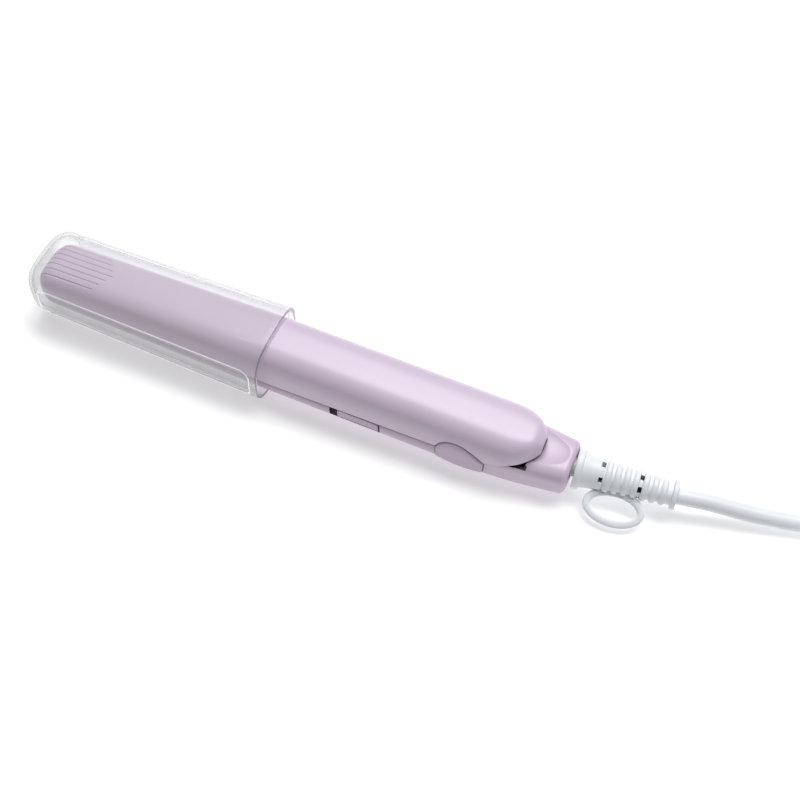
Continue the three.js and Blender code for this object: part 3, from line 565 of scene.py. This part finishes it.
LILAC = plastic("lilac_plastic", srgb(216, 199, 220), 0.38, 0.05, 1500, 0.015, Coat_Weight=0.2, Coat_Roughness=0.25)
LILAC_TRIM = plastic("lilac_trim", srgb(204, 184, 207), 0.45, 0.08, 1500, 0.02)
# The lower shell's lilac, with painted shade along its parting line.
LILAC_LOWER = shell_plastic_painted_shade("lilac_lower", srgb(214, 196, 217), srgb(172, 140, 166), SEAT_LOWER)
# Painted shade on the shells' inner faces, which are really the shells' own lilac.
SHELL_INSIDE_PAINTED_SHADE = plastic("shell_inside_painted_shade", srgb(74, 58, 72), 0.8, 0.2, 900, 0.1)
# Painted shade down in the cord guard's windows, whose walls are the guard's own white flex.
FLEX_WINDOW_PAINTED_SHADE = plastic("flex_window_painted_shade", srgb(84, 90, 94), 0.8, 0.2, 900, 0.1)
CLEAR = clear_plastic("clear_plastic", srgb(218, 220, 222), srgb(150, 148, 155), (0.11, 0.66))
# A painted highlight that glows a little: the bright line along the edge of the cover's side panels and in the middle
# of its mouth rim.
CLEAR_PAINTED_HIGHLIGHT = clear_plastic("clear_painted_highlight", srgb(244, 244, 242), srgb(225, 225, 225), (0.72, 0.8), Emission_Strength=0.3)
# Painted shade on the cover's mouth rim, on both sides of its painted highlight.
CLEAR_PAINTED_SHADE = clear_plastic("clear_painted_shade", srgb(128, 120, 132), srgb(110, 105, 115), (0.55, 0.75))
WHITE_FLEX = plastic("white_flex", srgb(240, 244, 248), 0.45, 0.1, 1200, 0.012)
WHITE_PLASTIC = plastic("white_plastic", srgb(236, 238, 240), 0.35, 0.04, 1600, 0.012)
DARK_RESIN = plastic("dark_resin", srgb(48, 48, 52), 0.55, 0.3, 900, 0.15)
CERAMIC = plastic("heater_ceramic", srgb(226, 218, 204), 0.5, 0.2, 800, 0.05)
JACKET = plastic("wire_jacket", srgb(176, 52, 44), 0.45, 0.1, 1500, 0.06)
STRAP = plastic("tie_strap", srgb(52, 52, 58), 0.6, 0.4, 1100, 0.12)
PLATE = metal("crimp_plate", srgb(186, 172, 196), 0.28, (0.15, 1, 1))
STEEL = metal("steel", srgb(200, 202, 206), 0.26, (1, 0.2, 1))
BRASS = metal("brass", srgb(214, 186, 120), 0.28, (1, 0.3, 1))

CAD_MATERIALS = {
    LILAC_TRIM: ["lower_inner_cover", "upper_inner_cover"],
    DARK_RESIN: ["lower_plate_carrier", "upper_plate_carrier", "switch_body"],
    PLATE: ["lower_crimp_plate", "upper_crimp_plate"],
    CERAMIC: ["lower_heater", "upper_heater"],
    STEEL: [
        "lower_heater_clip", "upper_heater_clip", "thermal_fuse", "hinge_pin", "hinge_spring",
        "base_screw_1", "base_screw_2", "cover_screw_1", "cover_screw_2",
    ],
    BRASS: [
        "hinge_bush_near", "hinge_bush_far", "swivel_bush", "brush_1", "brush_2", "slip_ring_1", "slip_ring_2",
        "plug_pin_near", "plug_pin_far",
    ],
    JACKET: ["lower_wire_near", "lower_wire_far", "upper_wire_near", "upper_wire_far"],
    WHITE_PLASTIC: ["lock_guide", "swivel_stem"],
    STRAP: ["hank_tie"],
}


def dress_cad_nodes():
    for material, names in CAD_MATERIALS.items():
        for name in names:
            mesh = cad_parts[name].data
            mesh.materials.clear()
            mesh.materials.append(material)


# ---- camera --------------------------------------------------------------------------------------

CAMERA_AZIMUTH = math.radians(23.51)
CAMERA_ELEVATION = math.radians(56.44)
CAMERA_TARGET = Vector((0.022, 0, 0.0124))
CAMERA_DISTANCE = 0.4636
CAMERA_LENS = 59.29


def make_camera():
    data = bpy.data.cameras.new("camera")
    data.lens = CAMERA_LENS
    data.sensor_width = 36
    data.clip_start = 0.01
    camera = bpy.data.objects.new("camera", data)
    bpy.context.scene.collection.objects.link(camera)
    forward = Vector(
        (
            -math.sin(CAMERA_AZIMUTH) * math.cos(CAMERA_ELEVATION),
            math.cos(CAMERA_AZIMUTH) * math.cos(CAMERA_ELEVATION),
            -math.sin(CAMERA_ELEVATION),
        )
    )
    camera.location = CAMERA_TARGET - forward * CAMERA_DISTANCE
    camera.rotation_euler = forward.to_track_quat("-Z", "Y").to_euler()
    bpy.context.scene.camera = camera


# ---- lead ----------------------------------------------------------------------------------------

# From the bore of the cord guard to the hank, in row-frame millimetres. The first points are the CAD's.
LEAD_ROUTE = [
    (117.07, 3.7, 8.44),
    (122.59, 4.28, 8.3),
    (126, 4.85, 8.15),
    (130, 5.75, 7.85),
    (134.8, 6.85, 7.25),
    (140.2, 7.85, 6.4),
    (145.3, 8.9, 5.5),
    (150.4, 10, 4.8),
    (155.7, 11.2, 4.2),
    (160.2, 12.3, 3.8),
    (164.8, 13.5, 3.45),
    (170, 15, 3.2),
    (175.5, 16.5, 3.2),
    (181, 17.9, 3.25),
    (186, 18.9, 3.5),
    (191.5, 19.6, 3.8),
    (197, 19.95, 4.1),
]
# From the hank to the plug.
TAIL_ROUTE = [
    (209, 13.6, 16.5),
    (216, 12, 18.1),
    (223, 8.9, 20.6),
    (229, 5.2, 22.9),
    (235, 1.9, 24.2),
    (241, -0.9, 25.3),
    (247, -2.9, 26),
    (252, -3.8, 26.3),
    (256.7, -4, 26.4),
    (262, -4, 26.5),
]
HANK_BASE_Z = 4.2
LANES = (24.0, 18.0)  # outer and inner
# Where each turn of the hank starts: its lane and its layer.
HANK_TURNS = [(0, 0), (1, 0), (1, 1), (0, 1), (0, 2), (1, 2)]


def racetrack(phase, lane_radius):
    """A point on the hank's racetrack, clockwise from the far side's start, with phase from 0 to 1."""
    straight = HANK_X[1] - HANK_X[0]
    arc = math.pi * lane_radius
    along = phase * 2 * (straight + arc)
    if along < straight:
        return HANK_X[0] + along, HANK_Y + lane_radius
    along -= straight
    if along < arc:
        angle = math.pi / 2 - along / lane_radius
        return HANK_X[1] + lane_radius * math.cos(angle), HANK_Y + lane_radius * math.sin(angle)
    along -= arc
    if along < straight:
        return HANK_X[1] - along, HANK_Y - lane_radius
    angle = -math.pi / 2 - (along - straight) / lane_radius
    return HANK_X[0] + lane_radius * math.cos(angle), HANK_Y + lane_radius * math.sin(angle)


def hank_points(per_turn=44):
    """The turns of the hank. Lanes and layers change along the near side."""
    points = []
    for turn, (lane, layer) in enumerate(HANK_TURNS):
        last = turn + 1 == len(HANK_TURNS)
        next_lane, next_layer = (lane, layer) if last else HANK_TURNS[turn + 1]
        for i in range(per_turn):
            phase = i / per_turn
            shift = smoothstep(phase, 0.62, 0.8)
            rise = smoothstep(phase, 0.5, 0.68)
            radius = lerp(LANES[lane], LANES[next_lane], shift)
            height = lerp(layer, next_layer, rise)
            x, y = racetrack(phase, radius)
            points.append((x, y, HANK_BASE_Z + height * (CORD_D - 0.1)))
    return points


def make_lead():
    points = even(
        np.concatenate([spline(LEAD_ROUTE, 120), np.array(hank_points()), spline(TAIL_ROUTE, 60)]),
        560,
    )
    smooth = points.copy()
    for _ in range(6):
        smooth[1:-1] = 0.5 * smooth[1:-1] + 0.25 * (smooth[:-2] + smooth[2:])
    smooth[:12] = points[:12]
    smooth[-12:] = points[-12:]
    length = float(np.linalg.norm(np.diff(smooth, axis=0), axis=1).sum()) * MM
    curve = bpy.data.curves.new("mains_lead", "CURVE")
    curve.dimensions = "3D"
    curve.bevel_depth = CORD_D / 2 * MM
    curve.bevel_resolution = 8
    curve.use_fill_caps = True
    line = curve.splines.new("POLY")
    line.points.add(len(smooth) - 1)
    for point, place in zip(line.points, smooth):
        point.co = (*[float(v) * MM for v in place], 1.0)
    line.use_smooth = True
    curve.materials.append(WHITE_FLEX)
    lead = new_object("mains_lead", curve)
    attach(lead, "body")
    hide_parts("power_cord", "cord_hank", "cord_tail")
    return lead, length, tuple(float(v) * MM for v in smooth[0])


def make_plug():
    """The flat two-pin plug: rounded sides, a raised rim round a recessed grip on each face, a thinner neck at the lead
    and two bores in its front.
    """
    half, thick = 17.55, 13.5
    front = PLUG_X + 33.9
    outline = [
        (PLUG_X - 7.9, 3.9), (PLUG_X - 1, 5.2), (PLUG_X + 5, 9.2), (PLUG_X + 11, 13.6), (PLUG_X + 16, 16.1),
        (PLUG_X + 22, 17.4), (front - 0.8, half), (front, half - 1),
    ]
    upper = spline(outline, 60)
    sections = []
    for share, inset in [(-1, 1.0), (-0.93, 0.3), (-0.82, 0), (0.82, 0), (0.93, 0.3), (1, 1.0)]:
        ring = []
        for side, points in ((1, upper), (-1, upper[::-1])):
            for x, y in points:
                thickness = lerp(4.0, thick / 2, smoothstep(x, PLUG_X - 4, PLUG_X + 8))
                shrunk = min(x, front - inset)
                ring.append((shrunk, HANK_Y + side * max(y - inset, 0.4), PLUG_Z + share * thickness))
        sections.append(ring)
    plug = rings("plug_shell", sections)
    for side in (1, -1):
        ring = box("grip", (PLUG_X + 9, PLUG_X + 22), (-6 + HANK_Y, 6 + HANK_Y), (0, 0.5))
        ring.data.transform(Matrix.Translation((0, 0, PLUG_Z + side * (thick / 2 - 0.25) - 0.25)))
        combine(plug, ring)
    for side in (1, -1):
        combine(plug, cylinder("bore", "x", (front - 6, front + 2), (HANK_Y + side * 9.2, PLUG_Z), 2.3))
    finish_piece(plug, TO_TABLE, WHITE_PLASTIC)
    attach(plug, "body")
    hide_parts("plug_body")
    return plug


# ---- shells --------------------------------------------------------------------------------------


def seat_cutter(name, points, side, reach=200):
    """Everything beyond the seat line: below it for the upper arm, above it for the lower shell."""
    line = [(-reach, points[0][1]), *[tuple(p) for p in spline(points, 110)], (reach, points[-1][1])]
    return across_y(name, [*line, (reach, side * reach), (-reach, side * reach)], (-reach, reach))


def lens_outline(margin, count=24):
    """The outline of the lock button, grown by a margin: an arched top, upright ends and a bowed bottom."""
    left, right = LENS_X[0] - margin, LENS_X[1] + margin
    (rise_x, rise_z), (fall_x, fall_z) = LENS_ARCH
    rise = (rise_x - margin, rise_z + 1.3 * margin)
    fall = (fall_x + margin, fall_z + 1.3 * margin)
    control = 2 * LENS_BOTTOM_Z - LENS_END_Z - 2 * margin
    outline = [(left, lerp(LENS_Z[0], LENS_END_Z, i / 8)) for i in range(8)]
    for i in range(count):
        t = i / count
        z = (1 - t) ** 2 * LENS_END_Z + 2 * t * (1 - t) * control + t * t * LENS_END_Z
        outline.append((lerp(left, right, t), z))
    outline += [(right, lerp(LENS_END_Z, LENS_Z[1], i / 8)) for i in range(8)]
    top = [(right, LENS_Z[1]), fall, rise, (left, LENS_Z[0])]
    for i in range(count):
        t = i / count
        share = ((1 - t) ** 3, 3 * t * (1 - t) ** 2, 3 * t * t * (1 - t), t**3)
        outline.append((sum(s * p[0] for s, p in zip(share, top)), sum(s * p[1] for s, p in zip(share, top))))
    return outline


def groove_tool():
    """The seven finger grooves as one cutting tool of round rods along the top."""
    points, faces = [], []
    sides = 12
    for number in range(GROOVES):
        off = number - (GROOVES - 1) / 2
        y = off * GROOVE_PITCH
        end = GROOVE_END_X - GROOVE_STAGGER * abs(off)
        stations = [lerp(GROOVE_START_X, end, (i / 60) ** 1.6) for i in range(61)]
        start = len(points)
        for x in stations:
            z = surface_z(x, y) + GROOVE_R * 0.25
            for k in range(sides):
                angle = 2 * math.pi * k / sides
                points.append((x, y + GROOVE_R * math.cos(angle), z + GROOVE_R * math.sin(angle)))
        for i in range(60):
            for k in range(sides):
                a, b = start + i * sides + k, start + i * sides + (k + 1) % sides
                faces.append((a, b, b + sides, a + sides))
        faces.append(tuple(range(start, start + sides))[::-1])
        faces.append(tuple(range(start + 60 * sides, start + 61 * sides)))
    tool = from_faces("grooves", points, faces)
    face_outwards(tool)
    return tool


def make_upper_shell():
    stations = [
        *rounded_end(ARM_TIP_X, TIP_ROUND, 1),
        *stretch(ARM_TIP_X + TIP_ROUND, TONGUE_X, 4),
        *stretch(TONGUE_X, 91.5, 0.5),
        *stretch(91.5, TONGUE_END_X - 0.1, 0.16),
    ]
    shell = half_body("upper_shell_skin", stations, UPPER_SQUARE, upper_size, PARTING_Z, 1, 140)
    inner = [
        *rounded_end(ARM_TIP_X + WALL, TIP_ROUND - WALL, 1, 10),
        *stretch(ARM_TIP_X + TIP_ROUND, TONGUE_X, 20),
        *stretch(TONGUE_X, 90.5, 1),
    ]
    combine(
        shell,
        half_body("inner", inner, UPPER_SQUARE, lambda x: upper_size(x, WALL), PARTING_Z, 1, 48),
    )
    combine(shell, seat_cutter("seat", SEAT_UPPER, -1))
    combine(shell, across_y("lens", lens_outline(GAP + 0.05), (-60, -LENS_DEPTH)))
    combine(shell, groove_tool())
    finish_piece(shell, TO_ROW, LILAC, 35, SHELL_INSIDE_PAINTED_SHADE, inside_upper)
    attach(shell, "arm")
    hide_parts("upper_shell")


def make_lower_shell():
    tail = [*stretch(75, TAIL_X - TAIL_ROUND, 1), *rounded_end(TAIL_X, TAIL_ROUND, -1, 10)[::-1][1:]]
    handle = stretch(ARM_TIP_X + TIP_ROUND, 75, 4)
    shell = half_body(
        "lower_shell_skin",
        [*rounded_end(ARM_TIP_X, TIP_ROUND, 1), *handle, *tail],
        LOWER_SQUARE,
        lower_size,
        PARTING_Z,
        -1,
        120,
    )
    above = [*[x for x in handle if x > -5], *tail]
    combine(shell, half_body("tail", above, TAIL_SQUARE, tail_size, PARTING_Z, 1, 120), "UNION")
    hollow = [
        *rounded_end(ARM_TIP_X + WALL, TIP_ROUND - WALL, 1, 10),
        *stretch(ARM_TIP_X + TIP_ROUND, 75, 20),
        *stretch(75, 98.4, 2),
    ]
    combine(shell, half_body("inner", hollow, LOWER_SQUARE, lambda x: lower_size(x, WALL), PARTING_Z, -1, 48))
    hollow_above = [x for x in hollow if x > -15]
    combine(
        shell,
        half_body("inner", hollow_above, TAIL_SQUARE, lambda x: tail_size(x, WALL), PARTING_Z, 1, 48),
    )
    room = (-HINGE_ROOM_HALF, HINGE_ROOM_HALF)
    combine(shell, box("hinge_room", (76, HINGE_ROOM_END), room, (-4, 12)))
    combine(shell, seat_cutter("seat", SEAT_LOWER, 1))
    combine(shell, dish_tool())
    for span, radius in (((-9.2, -5.9), COLLAR_R + GAP), ((-6, 4), BUSH_BORE_R)):
        bore = cylinder("bore", "x", span, (0, 0), radius, 64)
        bore.data.transform(GUARD_AXIS)
        combine(shell, bore)
    combine(shell, box("slot", SLOT_X, (-60, -8), SLOT_Z))
    combine(shell, across_y("lens", lens_outline(GAP), (-60, -LENS_DEPTH)))
    for x in SCREWS_LOWER_X:
        combine(shell, cylinder("screw", "z", (-14, -8.9), (x, 0), 2.4))
    rest = box("rest", (-200, 200), (-60, 60), (-20, 0))
    rest.data.transform(
        Matrix.Translation((MOUTH_X, 0, -COVER_MOUTH[1])) @ Matrix.Rotation(-PITCH, 4, "Y")
    )
    combine(shell, rest)
    finish_piece(shell, TO_ROW, LILAC_LOWER, 35, SHELL_INSIDE_PAINTED_SHADE, inside_lower)
    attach(shell, "body")
    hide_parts("lower_shell")


def dish_tool():
    """The landing round the end of the tongue is dished by a flattened ball."""
    sections = []
    for i in range(1, 48):
        angle = math.pi * i / 48
        radius = math.sin(angle)
        sections.append(
            [
                (
                    PIVOT_X - 19.5 * math.cos(angle),
                    10.2 * radius * math.cos(2 * math.pi * k / 96),
                    6.5 + 3.6 * radius * math.sin(2 * math.pi * k / 96),
                )
                for k in range(96)
            ]
        )
    return rings("dish", sections)


# ---- cover ---------------------------------------------------------------------------------------

PANEL_TOP = 0.42  # of the cover's half height, as are the next two
PANEL_BOTTOM = -0.6
PANEL_ROUND = 0.26
PANEL_END_X = -10.5
PANEL_CORNER = 3.2
PANEL_DEPTH = 0.45
PANEL_EDGE = 0.14


def outside_panel(x, z):
    """How far a place on the cover's side is outside the long side panel, in panel corner radii."""
    middle, half = (PANEL_TOP + PANEL_BOTTOM) / 2, (PANEL_TOP - PANEL_BOTTOM) / 2
    start = COVER_TIP_X + COVER_ROUND
    dx = max(start + PANEL_CORNER - x, x - (PANEL_END_X - PANEL_CORNER), 0.0) / PANEL_CORNER
    dz = max(abs(z - middle) - (half - PANEL_ROUND), 0.0) / PANEL_ROUND
    return math.hypot(dx, dz) - 1


def cover_material(x, y, z):
    """Which of the clear plastics a place on the cover has: plain, a painted highlight or painted shade."""
    half, height = cover_size(min(max(x, COVER_TIP_X + 0.01), MOUTH_X))
    # On the mouth rim, a painted highlight in the middle of its end face and painted shade on the rest.
    if x > MOUTH_X - 0.3:
        inset = half - abs(y) if abs(y) > abs(z) else height - abs(z)
        return 1 if x > MOUTH_X - 0.03 and 0.35 < inset < COVER_WALL - 0.35 else 2
    # On the sides, a painted highlight runs along the edge of the sunk panel.
    on_side = abs(y) > half * 0.7 and half > 8
    outer = abs(y / half) ** UPPER_SQUARE + abs(z / height) ** UPPER_SQUARE > 0.87
    return 1 if on_side and outer and 0 < outside_panel(x, z / height) < PANEL_EDGE * 1.6 else 0


def cover_outline(count=200):
    """A whole unit superellipse, with points gathered where the panel's edges run."""
    angle = np.linspace(0, 2 * math.pi, 4001)[:-1]
    y = np.sign(np.cos(angle)) * np.abs(np.cos(angle)) ** (2 / UPPER_SQUARE)
    z = np.sign(np.sin(angle)) * np.abs(np.sin(angle)) ** (2 / UPPER_SQUARE)
    step = np.hypot(np.diff(y, append=y[:1]), np.diff(z, append=z[:1]))
    near_edge = 12.8 * np.minimum(np.abs(z - PANEL_TOP), np.abs(z - PANEL_BOTTOM))
    weight = step * (1 + 5 * np.exp(-((near_edge / 0.8) ** 2)) * (np.abs(y) > 0.7))
    at = np.cumsum(weight) - weight[0]
    wanted = np.linspace(0, at[-1] + weight[-1], count, endpoint=False)
    index = np.searchsorted(at, wanted).clip(0, len(y) - 1)
    return [(float(y[i]), float(z[i])) for i in index]


def make_cover():
    """A clear moulded cap: outer wall with its sunk side panels, mouth rim and inner wall in one skin."""
    outline = cover_outline()
    rounded = rounded_end(COVER_TIP_X, COVER_ROUND, 1, 18)[1:]
    straight = [
        *stretch(COVER_TIP_X + COVER_ROUND, PANEL_END_X - PANEL_CORNER - 1, 2.5),
        *stretch(PANEL_END_X - PANEL_CORNER - 1, PANEL_END_X + 1, 0.3),
        *stretch(PANEL_END_X + 1, MOUTH_X - 0.4, 1.5),
    ]
    sections = []
    for x in [COVER_TIP_X, *rounded, *straight]:
        half, height = cover_size(x)
        ring = []
        for y, z in outline:
            step = smoothstep(outside_panel(x, z), -PANEL_EDGE, PANEL_EDGE)
            sink = PANEL_DEPTH * (1 - step) if abs(y) > 0.5 else 0.0
            ring.append((x, y * half - math.copysign(sink, y), z * height))
        sections.append(ring)
    rim = [(MOUTH_X - 0.12, 0.1), (MOUTH_X, 0.4), (MOUTH_X, COVER_WALL - 0.4), (MOUTH_X - 0.12, COVER_WALL - 0.1)]
    for x, inset in rim:
        half, height = cover_size(MOUTH_X)
        sections.append([(x, y * (half - inset), z * (height - inset)) for y, z in outline])
    inner_tip = COVER_TIP_X + COVER_WALL
    inner_round = rounded_end(inner_tip, COVER_ROUND - COVER_WALL, 1, 12)[1:]
    for x in [*stretch(inner_round[-1], MOUTH_X - 0.4, 6)[::-1], *inner_round[::-1], inner_tip]:
        half, height = cover_size(x, COVER_WALL)
        sections.append([(x, y * half, z * height) for y, z in outline])
    cover = rings("cover_shell", sections)
    finish_piece(cover, Matrix.Identity(4), CLEAR, 60)
    # The cover's painted highlight and painted shade, on the faces that cover_material picks.
    for extra in (CLEAR_PAINTED_HIGHLIGHT, CLEAR_PAINTED_SHADE):
        cover.data.materials.append(extra)
    for polygon in cover.data.polygons:
        polygon.material_index = cover_material(*polygon.center)
    cover.data.transform(TO_ROW)
    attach(cover, "cover")
    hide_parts("protective_cover")


# ---- controls ------------------------------------------------------------------------------------


def make_slider():
    """The switch's knob: a strip of the shell's own curve with fine grip ribs."""
    stations = stretch(SLIDER_X[0] - 0.01, SLIDER_X[1], 0.12)
    count, thick = 40, 1.8
    z_low, z_high = SLOT_Z[0] + GAP, SLIDER_TOP
    sections = []
    for x in stations:
        half, depth = lower_size(x)
        edge = min(x - SLIDER_X[0], SLIDER_X[1] - x)
        ribbed = 0.16 * (0.5 - 0.5 * math.cos(2 * math.pi * (x - SLIDER_X[0]) / 1.1)) if edge > 1.2 else 0.0
        inset = ribbed + drawn_in(edge, 0.3)
        outer, inner = [], []
        for i in range(count):
            z = lerp(z_high, z_low, i / (count - 1))
            below = min((PARTING_Z - z) / depth, 0.98)
            y = half * (1 - below**LOWER_SQUARE) ** (1 / LOWER_SQUARE)
            corner = drawn_in(min(z_high - z, z - z_low), 0.3)
            outer.append((x, -(y - inset - corner), z))
            inner.append((x, -(y - thick), z))
        sections.append([*outer, *inner[::-1]])
    knob = rings("power_knob", sections)
    finish_piece(knob, TO_ROW, LILAC_TRIM, 50)
    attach(knob, "slider")
    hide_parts("power_slider")


def make_lock_button():
    """The thumb pad: its face bulges a little past the shells and rolls over at its edge."""
    outline = lens_outline(0, 40)
    middle = ((LENS_X[0] + LENS_X[1]) / 2, PARTING_Z)
    sections = []
    for share, sink in [(1, 2.6), (1, 0.75), (0.985, 0.45), (0.95, 0.2), (0.88, 0.06), (0.7, 0), (0.4, 0), (0.1, 0)]:
        ring = []
        for x, z in outline:
            px, pz = lerp(middle[0], x, share), lerp(middle[1], z, share)
            above = pz > PARTING_Z
            half, height = BODY_HALF, UPPER_HEIGHT if above else LOWER_DEPTH
            square = UPPER_SQUARE if above else LOWER_SQUARE
            away = min(abs(pz - PARTING_Z) / (height + LENS_PROUD), 0.98)
            y = (half + LENS_PROUD) * (1 - away**square) ** (1 / square)
            ring.append((px, -(y - sink), pz))
        sections.append(ring)
    button = rings("lock_cap", sections)
    finish_piece(button, TO_ROW, LILAC_TRIM, 50)
    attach(button, "lock")
    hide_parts("lock_button")


# ---- cord guard ----------------------------------------------------------------------------------


def guard_profile():
    """(distance along the axis, radius) from the flange to the end flange."""
    rows = [(GUARD_START, STEM_R + GAP), (GUARD_START, FLANGE_R - 0.4), (GUARD_START + 0.12, FLANGE_R - 0.12)]
    rows += [(GUARD_START + 0.4, FLANGE_R), (GUARD_START + 1.9, FLANGE_R), (GUARD_START + 2.15, FLANGE_R - 0.1)]
    rows += [(GUARD_START + 2.3, FLANGE_R - 0.3), (GUARD_START + 2.5, NECK_R[0] - 0.05)]
    for i in range(1, 9):
        t = i / 8
        rows.append((lerp(GUARD_START + 2.5, NECK_END, t), lerp(NECK_R[0], NECK_R[1], t) - 0.25 * math.sin(math.pi * t)))
    for rib in range(RIBS):
        crest = lerp(RIB_R[0], RIB_R[1], rib / (RIBS - 1))
        start = NECK_END + 0.6 + rib * RIB_PITCH
        for along, sink in [(0, 1), (0.15, 0.75), (0.35, 0.25), (0.6, 0.05), (0.95, 0), (1.45, 0), (1.8, 0.05)]:
            rows.append((start + along, crest - RIB_DEPTH * sink))
        rows += [(start + 2.05, crest - RIB_DEPTH * 0.25), (start + 2.25, crest - RIB_DEPTH * 0.75)]
        rows += [(start + 2.4, crest - RIB_DEPTH), (start + 3, crest - RIB_DEPTH)]
    end = GUARD_END
    rows = [r for r in rows if r[0] < end - 1.8]
    rows += [(end - 1.75, RIB_R[1] - RIB_DEPTH), (end - 1.65, END_FLANGE_R - 0.6), (end - 1.5, END_FLANGE_R - 0.1)]
    rows += [(end - 1.2, END_FLANGE_R), (end - 0.4, END_FLANGE_R), (end - 0.1, END_FLANGE_R - 0.15)]
    rows += [(end, END_FLANGE_R - 0.4), (end, CORD_BORE_R), (end - 6, CORD_BORE_R)]
    rows += [(end - 6, 0.05), (5, 0.05), (5, STEM_R + GAP)]
    return rows


def make_guard():
    sides = 72
    sections = []
    for along, radius in guard_profile():
        angles = [2 * math.pi * k / sides for k in range(sides)]
        sections.append([(along, radius * math.cos(a), radius * math.sin(a)) for a in angles])
    count = len(sections)
    points = [p for section in sections for p in section]
    faces = []
    for i in range(count):
        for k in range(sides):
            a, b = i * sides + k, i * sides + (k + 1) % sides
            c, d = ((i + 1) % count) * sides + (k + 1) % sides, ((i + 1) % count) * sides + k
            faces.append((a, b, c, d))
    guard = from_faces("guard_skin", points, faces)
    face_outwards(guard)
    for along in WINDOW_RINGS:
        for i in range(WINDOWS):
            window = box("window", (-0.7, 0.7), (-1.05, 1.05), (2.9, 6.8))
            turn = Matrix.Rotation(2 * math.pi * i / WINDOWS + WINDOW_TURN, 4, "X")
            window.data.transform(turn @ Matrix.Translation((along, 0, 0)))
            combine(guard, window)
    combine(guard, loop_band(), "UNION")
    # The faces down in the windows get painted shade.
    finish_piece(guard, TO_ROW @ GUARD_AXIS, WHITE_FLEX, 40, FLEX_WINDOW_PAINTED_SHADE, in_window)
    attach(guard, "swivel")
    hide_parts("cord_guard")


def in_window(x, y, z):
    """Whether a place is down in one of the guard's windows."""
    return any(abs(x - along) < 0.72 for along in WINDOW_RINGS) and math.hypot(y, z) < RIB_R[1] - 0.4


def loop_band():
    """The hanging loop: an oval band with rounded edges, flat in a plane that leans down."""
    sides, section = 120, 20
    rows = []
    for k in range(section):
        angle = 2 * math.pi * k / section
        across = math.copysign(abs(math.cos(angle)) ** 0.7, math.cos(angle))
        up = math.copysign(abs(math.sin(angle)) ** 0.7, math.sin(angle))
        rows.append((across, up))
    sections = []
    for i in range(sides):
        turn = 2 * math.pi * i / sides
        ring = []
        for across, up in rows:
            share = 0.5 + 0.5 * across
            a = lerp(LOOP_HOLE[0], LOOP_OUTER[0], share)
            b = lerp(LOOP_HOLE[1], LOOP_OUTER[1], share)
            ring.append((LOOP_CENTRE[0] + a * math.cos(turn), LOOP_CENTRE[1] + b * math.sin(turn), up * LOOP_THICK / 2))
        sections.append(ring)
    points = [p for ring in sections for p in ring]
    faces = []
    for i in range(sides):
        for k in range(section):
            j, m = (i + 1) % sides, (k + 1) % section
            faces.append((i * section + k, i * section + m, j * section + m, j * section + k))
    band = from_faces("band", points, faces)
    band.data.transform(Matrix.Rotation(math.pi + LOOP_TILT, 4, "X"))
    face_outwards(band)
    combine(band, cylinder("inside", "x", (0, GUARD_END), (0, 0), 4, 48))
    return band


# ---- stage ---------------------------------------------------------------------------------------


def area_light(name, place, target, size, power, colour=(1, 1, 1)):
    data = bpy.data.lights.new(name, "AREA")
    data.shape = "RECTANGLE"
    data.size, data.size_y = size
    data.energy = power
    data.color = colour
    light = bpy.data.objects.new(name, data)
    light.location = place
    light.rotation_euler = (Vector(target) - Vector(place)).to_track_quat("-Z", "Y").to_euler()
    bpy.context.scene.collection.objects.link(light)


def make_stage():
    mesh = bpy.data.meshes.new("floor")
    reach = 6.0
    mesh.from_pydata([(-reach, -reach, 0), (reach, -reach, 0), (reach, reach, 0), (-reach, reach, 0)], [], [(0, 1, 2, 3)])
    floor = new_object("floor", mesh)
    floor.location.z = -0.0003
    lit = {"Emission_Color": (1, 1, 1, 1), "Emission_Strength": 0.42}
    mesh.materials.append(plastic("floor_white", srgb(234, 234, 235), 0.85, 0.0, 400, 0.0, **lit))
    world = bpy.data.worlds.new("studio")
    bpy.context.scene.world = world
    world.use_nodes = True
    world.node_tree.nodes["Background"].inputs["Color"].default_value = (1, 1, 1, 1)
    world.node_tree.nodes["Background"].inputs["Strength"].default_value = 0.12
    area_light("softbox", (0.1, 0.5, 1.3), (0, 0, 0), (1.2, 0.7), 20)
    bpy.context.scene.view_settings.view_transform = "Standard"


make_camera()
lead, lead_length, lead_exit = make_lead()
plug = make_plug()
make_upper_shell()
make_lower_shell()
make_cover()
make_slider()
make_lock_button()
make_guard()
dress_cad_nodes()
make_stage()
